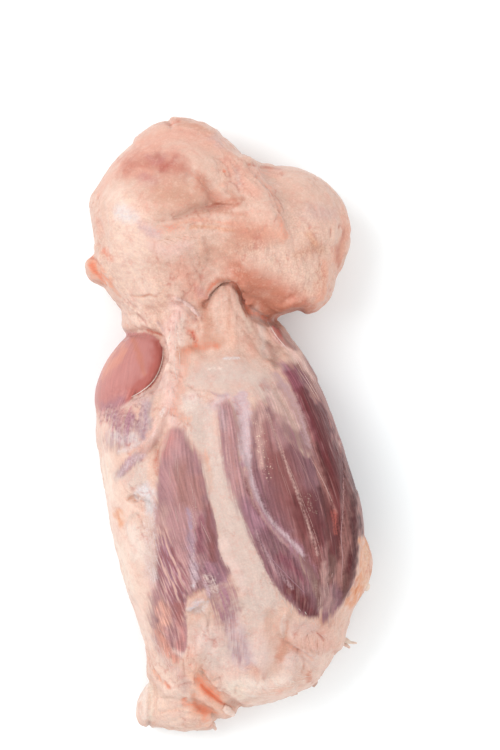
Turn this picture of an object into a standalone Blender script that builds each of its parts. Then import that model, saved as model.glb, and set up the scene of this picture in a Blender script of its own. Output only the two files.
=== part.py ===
"""A raw, skinned pork knuckle, lying on its flatter side with its fat cap to the rear (+Y).

Sizes are in millimetres, measured from the middle of the resting side, and turned to metres
at the end. +X is to the right, +Y points from the foot to the fat cap, +Z is up.
"""

import math

import bmesh
import bpy
import numpy as np
from mathutils import Matrix

NAME = "knuckle"
MM = 0.001

# ------------------------------------------------------------------ fineness
CAP_GRID = 2.0  # edge of the grid that melts the fat cap's lobes
SKIN_GRID = 1.4  # edge of the grid that joins cap, shank and foot
TRIANGLES = 11400  # triangles left in the finished solid
COURSE_STEPS = 8  # points put between two named points of a course

# ------------------------------------------------------------------ lobes
# Each lobe is an egg: (name, centre, radii, turn about Z in degrees).
CAP_LOBES = (
    ("crown", (-21.5, 84.6, 29), (28.4, 33.6, 32), -42),
    ("crown_back", (-17.8, 99.6, 25), (19.4, 18.6, 26), -30),
    ("left_corner", (-44.4, 85.4, 25), (9.6, 7.6, 18), -12),
    ("left_side", (-31.2, 71.0, 26), (17.6, 23.0, 27), -27),
    ("bridge", (3.4, 79.4, 27), (29.6, 22.8, 29), -26),
    ("right_lobe", (18.8, 74.9, 24), (28.2, 25.8, 26), 11),
    ("right_back", (19.6, 86.0, 21), (16.6, 13.4, 23), -26),
    ("right_lip", (21.5, 59.2, 25), (19.5, 14.2, 25), -24),
    ("lip_dome", (8.0, 63.0, 29), (18.0, 13.0, 25), -18),
    ("left_shoulder", (-23.4, 60.3, 24), (22.6, 20.0, 26), 14),
)
RED_MUSCLE = ("red_muscle", (-36.9, 20.9, 27), (11.2, 21.4, 22), -33)
LEFT_TAG = ("left_tag", (-51.2, 60.8, 23), (4.0, 6.0, 8), 32)
FOOT_LOBES = (
    ("foot_tag", (-18.0, -108.8, 12), (16.2, 10.6, 14), -3),
    ("foot_toe", (-29.6, -109.6, 11), (6.0, 9.2, 11), -20),
    ("foot_corner", (-9.5, -113.6, 9), (5.6, 6.2, 8), 25),
    ("foot_tip", (-3.0, -108.6, 17), (7.8, 5.6, 8), -12),
    ("foot_heel", (10.0, -96.4, 19), (28.2, 12.6, 21), 11),
)
EDGE_FAT = ("edge_fat", (48.8, -56.0, 22), (7.0, 13.2, 13), -10)

CAP_EASE = 34  # rounds of smoothing that melt the cap's lobes together
CAP_SWELL = 1.5  # what that smoothing takes off, put back
SKIN_EASE = 5
SKIN_SWELL = 0.4

# ------------------------------------------------------------------ shank
# Oval sections from the neck to the foot, each (y, left, right, top).
SHANK_SECTIONS = (
    (64, -34, 18, 42),
    (50, -40, 20.6, 45),
    (42, -41.2, 21.2, 46),
    (36, -41.5, 23.4, 48),
    (28, -40, 29.2, 52),
    (20, -43, 34.2, 57),
    (10, -48.5, 38.8, 62),
    (0, -51.3, 42.4, 66),
    (-12, -49.7, 45.4, 69),
    (-24, -47.8, 49.4, 70),
    (-36, -45.6, 52.2, 69),
    (-50, -42.8, 53, 66),
    (-62, -39.4, 52, 62),
    (-74, -35.7, 47.6, 56),
    (-86, -32, 43.6, 49),
    (-94, -31.6, 38, 44),
    (-101, -32, 33.5, 38),
    (-106, -29, 21, 33),
    (-109, -28, 8, 29),
)
SECTION_STEPS = 3
SECTION_SIDES = 64
WAIST = 0.43  # height of a section's widest line, as a share of its top
SUNK = 3.0  # how far a section reaches under the table before the flat is cut
UPPER_SQUARE = 0.9  # squareness of the upper and the lower half of a section
LOWER_SQUARE = 0.8

# ------------------------------------------------------------------ relief
# Courses over the skin, each (name, height, points); a point is (x, y, half width). Heights
# above 0 are bellies and folds, heights under 0 are seams, creases and hollows.
CAP_RELIEF = (
    ("crown_dent", -2.4, ((-34, 97, 9), (-24, 102, 10))),
    ("crown_ridge", 1.8, ((-22, 118, 4), (-11, 115, 5), (-3, 110, 5), (4, 102, 5))),
    ("crown_fold", -3.2, ((-28, 78, 3), (-19, 80, 3.5), (-11, 83, 4), (-4, 85.5, 4), (2, 86, 3))),
    ("crown_fold_back", -2.6, ((-3, 86, 4), (-8, 91, 4.5), (-13, 97, 4), (-16, 103, 3))),
    ("fold_lip", 2.0, ((-26, 84, 5), (-17, 87, 6), (-11, 90, 5))),
    ("lower_wrinkle", -1.8, ((-27, 73, 2.5), (-19, 75.5, 3), (-10, 76.5, 2.5))),
    ("central_ridge", 2.2, ((3, 103, 4), (8, 98, 6), (13, 89, 6.5), (18, 80, 6), (21, 73, 4))),
    ("right_hollow", -2.2, ((14, 100, 4), (20, 93, 6), (25, 85, 7), (28, 77, 5))),
    ("right_edge_crease", -2.0, ((44, 76, 2.5), (43, 69, 3), (41, 61, 2.5))),
    ("lip_fold", 1.8, ((20, 47, 3), (28, 49.5, 3.5), (37, 51, 3))),
    ("lip_knob", 1.6, ((9, 48, 3), (9.5, 48.5, 3))),
    ("left_hollow", -2.2, ((-50, 77, 4), (-48, 70, 4), (-47, 66, 3))),
    ("left_swell", 1.6, ((-42, 88, 9), (-41, 66, 9))),
)
NECK_RELIEF = (
    ("lip_crease", -4.2, ((-9, 47, 2.5), (-8, 51, 2.8), (-4, 55.5, 2.8), (2, 56, 2.8), (6, 51, 3),
                          (9, 45.5, 3), (14, 42.5, 3), (20, 41.5, 3), (28, 43.5, 3))),
    ("tendon_ridge", 1.8, ((-1, 52, 5), (0, 45, 7), (1, 36, 9), (1, 26, 9))),
    ("white_flap", 2.0, ((-20, 50, 2.5), (-15, 46.5, 3), (-11.5, 42, 2.5))),
    ("sinew_band", 2.4, ((-20, 44, 4), (-22, 34, 4.5), (-22, 22, 4.5), (-22.5, 10, 4), (-22, 0, 3))),
    ("red_crease", -3.8, ((-42, 36, 2.5), (-35, 37.2, 3), (-28, 35.5, 3.2), (-25, 30, 3),
                          (-25.5, 22, 2.8), (-30, 14.5, 2.5))),
    ("neck_hollow", -1.8, ((-14, 41, 3.5), (-13, 34, 4), (-9, 29, 3.5))),
    ("neck_right_hollow", -1.4, ((10, 40, 3.5), (13, 34, 4), (16, 28, 3.5))),
    ("joint_plate", 1.2, ((-6, 20, 10), (8, 20, 10))),
)
MUSCLE_RELIEF = (
    ("left_belly", 2.0, ((-20, 2, 5), (-19, -15, 9), (-18, -35, 12), (-19, -56, 13), (-23, -76, 9),
                         (-22, -90, 5))),
    ("inner_belly", 1.3, ((0, 10, 4), (2, -8, 6), (7, -26, 7), (16, -44, 8), (24, -58, 9),
                          (32, -69, 6))),
    ("right_belly", 2.0, ((12, 6, 5), (18, -10, 11), (24, -26, 12), (31, -42, 10), (36, -55, 5))),
    ("outer_belly", 1.8, ((22, 25, 4), (29, 11, 7), (35, -4, 8), (40, -18, 7), (42, -34, 4))),
    ("edge_belly", 1.2, ((45, -6, 4), (48, -24, 5), (49, -42, 6), (46, -62, 5))),
    ("strip_belly", 1.2, ((17, 39, 3), (22, 33, 4), (29, 25, 3))),
    ("central_strip", -1.8, ((-9, 4, 6), (-7, -12, 6), (-4, -30, 6), (1, -45, 7), (7, -60, 8),
                             (10, -74, 6))),
    ("inner_seam", -1.1, ((5, 6, 3), (7, -6, 3), (10, -19, 3), (15, -32, 3), (22, -43, 3.5),
                          (31, -54, 4), (38, -63, 3))),
    ("outer_seam", -1.5, ((20, 14, 3), (28, 1, 3.5), (33, -9, 3.5), (37, -21, 3.5), (41, -34, 3.5),
                          (44, -48, 3), (43, -64, 3))),
    ("left_seam", -1.8, ((-28, -6, 3), (-31, -22, 4), (-32, -40, 4), (-31, -58, 4))),
    ("diagonal_seam", -1.6, ((-23, -1, 2.5), (-30, -10, 3), (-39, -19, 3))),
    ("membrane_swell", 1.2, ((-41, 2, 6), (-43, -12, 5))),
    ("left_fat", 1.2, ((-42, -22, 5), (-42, -36, 6), (-38, -50, 6), (-36, -64, 5))),
    ("left_pit", -2.6, ((-37, -27, 3.5), (-32, -31, 3.5))),
)
FOOT_RELIEF = (
    ("purple_hollow", -1.4, ((-8, -56, 6), (-1, -66, 7), (2, -75, 6))),
    ("torn_flake", 1.6, ((-15, -70, 3), (-9, -67, 3.5), (-7, -77, 3.5), (-11, -86, 4))),
    ("tan_hollow", -2.4, ((17, -74, 5), (20, -86, 7), (17, -98, 5))),
    ("upper_fold", 1.6, ((22, -71, 3), (22, -79, 4), (30, -86, 4), (37, -93, 3))),
    ("lower_fold", -1.8, ((26, -85, 3), (29, -92, 3.5), (27, -100, 3))),
    ("side_fold", 1.4, ((36, -76, 4), (41, -80, 4), (44, -86, 3))),
    ("foot_fold", 1.8, ((-14, -88, 4), (-17, -96, 4.5), (-22, -104, 4))),
    ("upper_crease", -3.4, ((-12, -96, 2.5), (-8, -101, 3), (-3, -106, 3), (4, -110, 2.5))),
    ("lower_crease", -3.2, ((-17, -107, 2.5), (-11, -110, 3), (-4, -113, 2.5))),
    ("toe_crease", -2.6, ((-31, -99, 2.5), (-29.5, -106, 3), (-30.5, -115, 2.5))),
    ("heel_fold", 1.4, ((2, -98, 5), (14, -102, 5), (25, -101, 4))),
)
UNDER_SHARE = 0.55  # how much of the relief the lower half carries on
SIDE_BAND = 0.35  # slope of the skin over which relief fades in from the side


def clear_scene():
    """Starts from an empty scene."""
    for old in list(bpy.data.objects):
        bpy.data.objects.remove(old)


def eased_rows(rows, steps):
    """Rows of numbers carried through their values by a Catmull-Rom curve."""
    rows = np.asarray(rows, float)
    padded = np.vstack([2 * rows[0] - rows[1], rows, 2 * rows[-1] - rows[-2]])
    eased = []
    for i in range(1, len(padded) - 2):
        before, start, end, after = padded[i - 1 : i + 3]
        for t in np.arange(steps) / steps:
            eased.append(
                0.5 * (2 * start + (end - before) * t
                       + (2 * before - 5 * start + 4 * end - after) * t**2
                       + (3 * start - before - 3 * end + after) * t**3)
            )
    return np.array(eased + [rows[-1]])


def new_object(name, bm):
    """An object of this name from a bmesh, which is freed."""
    mesh = bpy.data.meshes.new(name)
    bm.to_mesh(mesh)
    bm.free()
    obj = bpy.data.objects.new(name, mesh)
    bpy.context.scene.collection.objects.link(obj)
    return obj


def egg(name, centre, radii, turn):
    """A lobe: a ball stretched to its radii and turned about Z."""
    bm = bmesh.new()
    place = Matrix.Translation(centre) @ Matrix.Rotation(math.radians(turn), 4, "Z")
    place = place @ Matrix.Diagonal((*radii, 1))
    bmesh.ops.create_icosphere(bm, subdivisions=4, radius=1, matrix=place)
    return new_object(name, bm)


def section_ring(bm, y, left, right, top):
    """Corners of one oval section of the shank."""
    middle, half = (left + right) / 2, (right - left) / 2
    waist = WAIST * top
    ring = []
    for i in range(SECTION_SIDES):
        a = 2 * math.pi * i / SECTION_SIDES
        c, s = math.cos(a), math.sin(a)
        square, rise = (UPPER_SQUARE, top - waist) if s > 0 else (LOWER_SQUARE, waist + SUNK)
        x = middle + half * math.copysign(abs(c) ** square, c)
        z = waist + rise * math.copysign(abs(s) ** square, s)
        ring.append(bm.verts.new((x, y, z)))
    return ring


def shank():
    """The lean part, lofted through its sections."""
    bm = bmesh.new()
    rings = [section_ring(bm, *row) for row in eased_rows(SHANK_SECTIONS, SECTION_STEPS)]
    for near, far in zip(rings, rings[1:]):
        for i in range(SECTION_SIDES):
            j = (i + 1) % SECTION_SIDES
            bm.faces.new((near[i], far[i], far[j], near[j]))
    bm.faces.new(rings[0])
    bm.faces.new(reversed(rings[-1]))
    bmesh.ops.recalc_face_normals(bm, faces=bm.faces)
    return new_object("shank", bm)


def evaluated_mesh(obj):
    """A plain mesh of the object with its modifiers applied."""
    graph = bpy.context.evaluated_depsgraph_get()
    return bpy.data.meshes.new_from_object(obj.evaluated_get(graph))


def points_of(mesh):
    """Corners and normals of a mesh as two arrays."""
    points = np.empty(3 * len(mesh.vertices), np.float32)
    normals = np.empty(3 * len(mesh.vertices), np.float32)
    mesh.vertices.foreach_get("co", points)
    mesh.vertex_normals.foreach_get("vector", normals)
    return points.reshape(-1, 3).astype(float), normals.reshape(-1, 3).astype(float)


def move_points(mesh, points):
    """Puts the corners of a mesh at these points."""
    mesh.vertices.foreach_set("co", points.astype(np.float32).ravel())
    mesh.update()


def melted(name, parts, grid, ease, swell):
    """One skin over the parts: joined, remeshed on a grid, smoothed and swollen a little."""
    body = parts[0]
    rest = bpy.data.collections.new("rest")
    for part in parts[1:]:
        rest.objects.link(part)
    join = body.modifiers.new("join", "BOOLEAN")
    join.operation = "UNION"
    join.operand_type = "COLLECTION"
    join.collection = rest
    join.solver = "EXACT"
    skin = body.modifiers.new("skin", "REMESH")
    skin.mode = "VOXEL"
    skin.voxel_size = grid
    smooth = body.modifiers.new("smooth", "SMOOTH")
    smooth.factor = 0.5
    smooth.iterations = ease
    mesh = evaluated_mesh(body)
    for part in parts:
        bpy.data.objects.remove(part)
    bpy.data.collections.remove(rest)
    points, normals = points_of(mesh)
    move_points(mesh, points + swell * normals)
    melted_body = bpy.data.objects.new(name, mesh)
    bpy.context.scene.collection.objects.link(melted_body)
    return melted_body


def course_height(points, height, course):
    """Height that one course adds at each point, full on its line and nothing at its edge."""
    line = eased_rows(course, COURSE_STEPS)
    away = np.full(len(points), np.inf)
    for x, y, half_width in line:
        away = np.minimum(away, np.hypot(points[:, 0] - x, points[:, 1] - y) / half_width)
    return height * 0.5 * (1 + np.cos(np.pi * np.clip(away, 0, 1)))


def add_relief(obj, courses):
    """Raises and sinks the skin along the courses, at part strength on the lower half."""
    points, normals = points_of(obj.data)
    facing = normals[:, 2]
    share = np.clip((facing + SIDE_BAND) / (2 * SIDE_BAND), 0, 1)
    share = UNDER_SHARE + (1 - UNDER_SHARE) * share * share * (3 - 2 * share)
    raised = sum(course_height(points, height, course) for _, height, course in courses)
    move_points(obj.data, points + (share * raised)[:, None] * normals)


def cut_flat(mesh):
    """The mesh above the table plane, closed by a flat resting side."""
    bm = bmesh.new()
    bm.from_mesh(mesh)
    everything = bm.verts[:] + bm.edges[:] + bm.faces[:]
    cut = bmesh.ops.bisect_plane(bm, geom=everything, plane_co=(0, 0, 0), plane_no=(0, 0, -1),
                                 clear_outer=True)
    rim = [item for item in cut["geom_cut"] if isinstance(item, bmesh.types.BMEdge)]
    bmesh.ops.triangle_fill(bm, edges=rim, use_beauty=True)
    bmesh.ops.recalc_face_normals(bm, faces=bm.faces)
    return new_object("cut", bm)


def thinned(obj):
    """A mesh of the object with few triangles, its resting side's middle at the origin."""
    bm = bmesh.new()
    bm.from_mesh(obj.data)
    bmesh.ops.triangulate(bm, faces=bm.faces)
    bm.to_mesh(obj.data)
    bm.free()
    thin = obj.modifiers.new("thin", "DECIMATE")
    thin.ratio = TRIANGLES / len(obj.data.polygons)
    mesh = evaluated_mesh(obj)
    bpy.data.objects.remove(obj)
    points, _ = points_of(mesh)
    low, high = points.min(axis=0), points.max(axis=0)
    middle = np.array([(low[0] + high[0]) / 2, (low[1] + high[1]) / 2, low[2]])
    move_points(mesh, (points - middle) * MM)
    return mesh


def meat():
    """The moist, pale pink flesh and fat."""
    material = bpy.data.materials.new("raw_meat")
    material.use_nodes = True
    shader = material.node_tree.nodes["Principled BSDF"]
    shader.inputs["Base Color"].default_value = (0.62, 0.36, 0.31, 1)
    shader.inputs["Roughness"].default_value = 0.42
    shader.inputs["Metallic"].default_value = 0.0
    return material


def main():
    """Builds the knuckle as one closed solid."""
    clear_scene()
    cap = melted("cap", [egg(*lobe) for lobe in CAP_LOBES], CAP_GRID, CAP_EASE, CAP_SWELL)
    add_relief(cap, CAP_RELIEF)
    lobes = (RED_MUSCLE, LEFT_TAG, EDGE_FAT) + FOOT_LOBES
    body = melted("body", [shank(), cap] + [egg(*lobe) for lobe in lobes],
                  SKIN_GRID, SKIN_EASE, SKIN_SWELL)
    add_relief(body, NECK_RELIEF + MUSCLE_RELIEF + FOOT_RELIEF)
    rested = cut_flat(body.data)
    bpy.data.objects.remove(body)
    mesh = thinned(rested)
    knuckle = bpy.data.objects.new(NAME, mesh)
    bpy.context.scene.collection.objects.link(knuckle)
    knuckle.data.materials.clear()
    knuckle.data.materials.append(meat())


if __name__ == "__main__":
    main()
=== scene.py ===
"""Dresses the raw pork knuckle and sets it on a pale floor, seen from straight above.

Courses, stains and folds are given in millimetres over the plan of the knuckle: x to the
right, y from the foot to the fat cap. A course is a row of points (x, y, half width).
"""

import logging
import math
from dataclasses import dataclass, field
from enum import Enum

import bmesh
import bpy
import numpy as np
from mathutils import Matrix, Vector, noise
from mathutils.bvhtree import BVHTree


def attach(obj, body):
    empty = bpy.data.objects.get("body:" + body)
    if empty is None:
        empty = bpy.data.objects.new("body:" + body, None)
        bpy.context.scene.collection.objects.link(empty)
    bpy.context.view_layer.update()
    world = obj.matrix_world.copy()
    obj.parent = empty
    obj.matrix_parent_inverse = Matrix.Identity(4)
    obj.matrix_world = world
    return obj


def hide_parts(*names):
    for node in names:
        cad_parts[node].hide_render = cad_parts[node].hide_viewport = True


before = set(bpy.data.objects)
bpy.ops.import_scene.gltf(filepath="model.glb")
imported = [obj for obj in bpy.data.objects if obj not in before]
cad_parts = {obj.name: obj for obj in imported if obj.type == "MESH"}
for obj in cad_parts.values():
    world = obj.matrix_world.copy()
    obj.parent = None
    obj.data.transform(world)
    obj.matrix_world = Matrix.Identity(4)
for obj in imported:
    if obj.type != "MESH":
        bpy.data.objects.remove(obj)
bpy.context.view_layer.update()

LOG = logging.getLogger("knuckle")
MM = 0.001
PLAN_SHIFT = (-0.4, -0.2)  # from the plan's zero to the middle of the resting side, in mm
PAPER_LIGHT = 1.42  # how brightly white paper is lit on this stage, where 1 shows as white
Triple = tuple[float, float, float]
Colour = Triple
Course = tuple[Triple, ...]


# ------------------------------------------------------------------ colours and courses
def rgb(red: int, green: int, blue: int) -> Colour:
    """Turns a colour as it shows on the lit stage into the surface's own linear colour.

    Args:
        red, green, blue: display values from 0 to 255.

    Returns:
        The colour that a surface needs to show so.
    """
    parts = []
    for value in (red, green, blue):
        share = value / 255
        linear = share / 12.92 if share <= 0.04045 else ((share + 0.055) / 1.055) ** 2.4
        parts.append(linear / PAPER_LIGHT)
    return (parts[0], parts[1], parts[2])


def eased(rows: Course, steps: int = 8) -> np.ndarray:
    """Carries rows of numbers through their values by a Catmull-Rom curve.

    Args:
        rows: the named points of a course.
        steps: points put between two named ones.

    Returns:
        The denser rows.
    """
    knots = np.asarray(rows, float)
    if len(knots) == 1:
        return knots
    padded = np.vstack([2 * knots[0] - knots[1], knots, 2 * knots[-1] - knots[-2]])
    dense = []
    for i in range(1, len(padded) - 2):
        before, start, end, after = padded[i - 1 : i + 3]
        for t in np.arange(steps) / steps:
            dense.append(
                0.5 * (2 * start + (end - before) * t
                       + (2 * before - 5 * start + 4 * end - after) * t**2
                       + (3 * start - before - 3 * end + after) * t**3)
            )
    return np.array([*dense, knots[-1]])


def over_plan(x: float, y: float, height: float) -> Vector:
    """Gives the scene's place over a place of the plan, all in millimetres, as metres."""
    return Vector(((x + PLAN_SHIFT[0]) * MM, (y + PLAN_SHIFT[1]) * MM, height * MM))


def ramp(values: np.ndarray, low: float, high: float) -> np.ndarray:
    """Eases values from 0 at low to 1 at high."""
    share = np.clip((values - low) / (high - low), 0, 1)
    return share * share * (3 - 2 * share)


class Tone(Enum):
    """Colours of fat and blood, then of membranes, then of lean; each group from light to dark. Some also paint shade
    along creases and under the cap's lip, and highlights on the red muscle and the right flank's edge.
    """

    CREAM = rgb(250, 230, 218)
    BUTTER = rgb(252, 230, 212)
    SHELL = rgb(250, 218, 202)
    PETAL = rgb(248, 208, 198)
    LINEN = rgb(241, 212, 202)
    PEACH = rgb(252, 200, 176)
    OATMEAL = rgb(225, 201, 190)
    SAND = rgb(236, 196, 178)
    BLUSH = rgb(225, 188, 178)
    APRICOT = rgb(238, 178, 158)
    TAN = rgb(218, 178, 160)
    MELON = rgb(240, 168, 140)
    DUSTY = rgb(206, 164, 156)
    CLAY = rgb(214, 158, 134)
    ROSE = rgb(210, 144, 138)
    AMBER = rgb(234, 154, 104)
    SALMON = rgb(252, 152, 116)
    COPPER = rgb(210, 135, 110)
    CORAL = rgb(236, 120, 82)
    COCOA = rgb(176, 125, 118)
    BRICK = rgb(186, 100, 90)
    RUST = rgb(194, 90, 66)

    PEARL = rgb(235, 229, 230)
    ICE = rgb(195, 210, 230)
    MIST = rgb(218, 190, 194)
    LAVENDER = rgb(196, 163, 166)
    STEEL = rgb(155, 150, 150)
    LILAC = rgb(178, 150, 164)
    FADED = rgb(195, 148, 148)
    MAUVE = rgb(174, 128, 140)

    PLUM = rgb(146, 103, 110)
    BERRY = rgb(150, 88, 100)
    MUSCLE = rgb(150, 94, 92)
    UMBER = rgb(128, 88, 82)
    WINE = rgb(112, 54, 56)
    MAROON = rgb(92, 43, 45)


class Mask(Enum):
    """Amounts that the skin carries at each of its points."""

    LEAN = "lean"
    CELLS = "cells"
    SPOTTED = "spotted"
    BUNDLES = "bundles"
    # painted highlights: where white specks for wet glints go into the base colour
    GLINTS = "glints"
    SMOOTH = "smooth"
    GRAIN = "grain"
    WRINKLE = "wrinkle"
    # crease: sunk creases, which the shader also paints darker (painted shade)
    CREASE = "crease"
    ABOVE = "above"


class Coat(Enum):
    """Layers of colour that the skin carries at each of its points."""

    FAT = "fat_tone"
    LEAN = "lean_tone"
    VEIL = "veil"


@dataclass(frozen=True)
class Fold:
    """A ridge, or with a height under 0 a furrow, along a course."""

    height: float
    course: Course
    sharp: bool = False


@dataclass(frozen=True)
class Stain:
    """A patch of colour along a course."""

    colour: Tone
    strength: float
    course: Course
    soft: float = 1.0  # share of the half width over which it fades


@dataclass(frozen=True)
class Mark:
    """A patch of one of the skin's amounts along a course."""

    mask: Mask
    strength: float
    course: Course
    soft: float = 1.6  # millimetres over which its edge fades


@dataclass(frozen=True)
class Patch:
    """One of the skin's amounts within a closed outline of points (x, y, softness of the edge)."""

    mask: Mask
    strength: float
    outline: Course


@dataclass(frozen=True)
class Strand:
    """A thin line of sinew, fibre or blood that lies on the skin; widths are its radii."""

    colour: Tone
    course: Course
    proud: float = 0.5  # share of the radius that stands over the skin


@dataclass(frozen=True)
class Sheaf:
    """Short strands scattered over a course, each running along the flow."""

    colour: Tone
    count: int
    length: float
    radius: float
    proud: float
    course: Course


@dataclass(frozen=True)
class Shred:
    """A torn tag, flake or flap of fat; widths are half its breadth."""

    colour: Tone
    course: Course
    thick: float
    lift: float = 0.2  # millimetres from the skin to its middle
    rise: float = 0.0  # more lift at its far end
    height: float | None = None  # its own height in millimetres, where no skin is under it


# ------------------------------------------------------------------ the skin's points
class Skin:
    """The knuckle's surface as arrays: points, normals, edges, amounts and colours."""

    def __init__(self, mesh: bpy.types.Mesh) -> None:
        """Reads a mesh.

        Args:
            mesh: the closed surface, in metres.
        """
        self.mesh = mesh
        self.count = len(mesh.vertices)
        self.points = self.read(mesh.vertices, "co")
        pairs = np.empty(2 * len(mesh.edges), np.int32)
        mesh.edges.foreach_get("vertices", pairs)
        self.edges = self._with_diagonals(mesh, pairs.reshape(-1, 2))
        self.amounts = {mask: np.zeros(self.count) for mask in Mask}
        self.coats = {coat: np.zeros((self.count, 3)) for coat in Coat}
        self.cover = np.zeros(self.count)
        self.warp = np.zeros((self.count, 2))
        self.refresh()

    @staticmethod
    def read(items: bpy.types.bpy_prop_collection, name: str) -> np.ndarray:
        """Reads one vector of each item as an array."""
        flat = np.empty(3 * len(items), np.float32)
        items.foreach_get(name, flat)
        return flat.reshape(-1, 3).astype(float)

    @staticmethod
    def _with_diagonals(mesh: bpy.types.Mesh, pairs: np.ndarray) -> np.ndarray:
        """Adds both diagonals of each four-sided face to the edges."""
        sides = np.empty(len(mesh.polygons), np.int32)
        starts = np.empty(len(mesh.polygons), np.int32)
        corners = np.empty(len(mesh.loops), np.int32)
        mesh.polygons.foreach_get("loop_total", sides)
        mesh.polygons.foreach_get("loop_start", starts)
        mesh.loops.foreach_get("vertex_index", corners)
        first = starts[sides == 4]
        across = np.stack([corners[first], corners[first + 2]], 1)
        other = np.stack([corners[first + 1], corners[first + 3]], 1)
        return np.vstack([pairs, across, other])

    def refresh(self) -> None:
        """Writes the points back to the mesh and reads its normals again."""
        self.mesh.vertices.foreach_set("co", self.points.astype(np.float32).ravel())
        self.mesh.update()
        self.normals = self.read(self.mesh.vertex_normals, "vector")
        self.plan = self.points[:, :2] / MM - np.array(PLAN_SHIFT)
        self.facing = ramp(self.normals[:, 2], -0.45, 0.25)
        # edges of marks and patches soften by this many millimetres more down the sides and underneath
        self.looser = 2 * ramp(-self.normals[:, 2], -0.6, 0.0) + 10 * ramp(-self.normals[:, 2], 0.1, 0.7)

    def near(self, course: Course, margin: float = 0.0) -> tuple[np.ndarray, np.ndarray, np.ndarray]:
        """Finds the points near a course.

        Args:
            course: the course.
            margin: millimetres beyond its half width that still count.

        Returns:
            The points' numbers, their distance in half widths, and the half width there.
        """
        line = eased(course)
        wobble = min(1.0, 0.05 + 0.09 * float(line[:, 2].mean()) ** 2)
        reach = float(line[:, 2].max()) + margin + 4 * wobble
        low, high = line[:, :2].min(0) - reach, line[:, :2].max(0) + reach
        inside = np.nonzero(((self.plan > low) & (self.plan < high)).all(1))[0]
        plan = self.plan[inside] + wobble * self.warp[inside]
        away = np.full(len(inside), np.inf)
        width = np.full(len(inside), line[0, 2])
        for x, y, half in line:
            share = np.hypot(plan[:, 0] - x, plan[:, 1] - y) / half
            nearer = share < away
            away[nearer] = share[nearer]
            width[nearer] = half
        return inside, away, width

    def fold(self, folds: tuple[Fold, ...]) -> None:
        """Raises and sinks the skin along folds, more weakly on its under side."""
        raised = np.zeros(self.count)
        for item in folds:
            inside, away, _ = self.near(item.course)
            share = np.clip(1 - away, 0, 1)
            raised[inside] += item.height * (share if item.sharp else 0.5 - 0.5 * np.cos(np.pi * share))
        self.push(raised * (0.4 + 0.6 * self.facing))

    def push(self, millimetres: np.ndarray) -> None:
        """Moves each point along its normal."""
        self.points += (millimetres * MM)[:, None] * self.normals

    def stain(self, coat: Coat, stains: tuple[Stain, ...]) -> None:
        """Lays patches of colour over one of the skin's layers, in their order."""
        colours = self.coats[coat]
        for item in stains:
            inside, away, _ = self.near(item.course)
            cover = item.strength * ramp(1 - away, 0, item.soft)
            if np.mean([row[2] for row in item.course]) < 2.2:  # a line ends where the sides turn down
                cover = cover * ramp(self.normals[inside, 2], 0.1, 0.4)
            if coat is Coat.VEIL:
                colours[inside] *= (1 - cover)[:, None]
                colours[inside] += cover[:, None] * np.array(item.colour.value)
                self.cover[inside] += cover * (1 - self.cover[inside])
            else:
                colours[inside] += cover[:, None] * (np.array(item.colour.value) - colours[inside])

    def mark(self, marks: tuple[Mark, ...]) -> None:
        """Adds patches to the skin's amounts."""
        for item in marks:
            inside, away, width = self.near(item.course, item.soft + 6)
            amount = self.amounts[item.mask]
            share = item.strength * ramp((1 - away) * width / (item.soft + self.looser[inside]), -0.5, 0.5)
            amount[inside] = np.maximum(amount[inside], share)

    def fill(self, patches: tuple[Patch, ...]) -> None:
        """Adds outlined patches to the skin's amounts."""
        for item in patches:
            line = eased((*item.outline, item.outline[0]))
            low, high = line[:, :2].min(0) - 12, line[:, :2].max(0) + 12
            chosen = np.nonzero(((self.plan > low) & (self.plan < high)).all(1))[0]
            x, y = (self.plan[chosen] + 0.25 * self.warp[chosen]).T
            away, soft = np.full(len(chosen), np.inf), np.ones(len(chosen))
            within = np.zeros(len(chosen), bool)
            for (x0, y0, edge), (x1, y1, _) in zip(line, line[1:]):
                gap = np.hypot(x - x0, y - y0)
                nearer = gap < away
                away[nearer], soft[nearer] = gap[nearer], edge + self.looser[chosen[nearer]]
                if y0 != y1:
                    within ^= ((y0 > y) != (y1 > y)) & (x < x0 + (y - y0) * (x1 - x0) / (y1 - y0))
            share = item.strength * ramp(np.where(within, away, -away) / soft, -0.5, 0.5)
            amount = self.amounts[item.mask]
            amount[chosen] = np.maximum(amount[chosen], share)

    def spread(self, values: np.ndarray, rounds: int, weights: np.ndarray | None = None) -> np.ndarray:
        """Evens values out between neighbouring points.

        Args:
            values: one number, or one row, for each point.
            rounds: how many times.
            weights: one for each edge; all alike if left out.

        Returns:
            The evened values.
        """
        start, end = self.edges[:, 0], self.edges[:, 1]
        weights = np.ones(len(self.edges)) if weights is None else weights
        total = np.bincount(start, weights, self.count) + np.bincount(end, weights, self.count) + 1e-9
        columns = values.reshape(self.count, -1).copy()
        for _ in range(rounds):
            for k in range(columns.shape[1]):
                column = columns[:, k]
                pulled = (np.bincount(start, weights * column[end], self.count)
                          + np.bincount(end, weights * column[start], self.count))
                columns[:, k] = 0.5 * (column + pulled / total)
        return columns.reshape(values.shape)

    def find_flow(self, flows: tuple[Course, ...]) -> None:
        """Finds the direction of fibres and wrinkles at each point, from courses along them."""
        flow = np.zeros((self.count, 2))
        for course in flows:
            line = eased(course, 4)
            step = np.gradient(line[:, :2], axis=0)
            step /= np.linalg.norm(step, axis=1)[:, None]
            for (x, y, half), run in zip(line, step):
                gap = (self.plan[:, 0] - x) ** 2 + (self.plan[:, 1] - y) ** 2
                flow += run * (1 / (gap + half * half) ** 1.5)[:, None]
        self.flow = np.concatenate([flow, np.zeros((self.count, 1))], 1)
        self.flow -= (self.flow * self.normals).sum(1)[:, None] * self.normals
        self.flow /= np.linalg.norm(self.flow, axis=1)[:, None] + 1e-12

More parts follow.
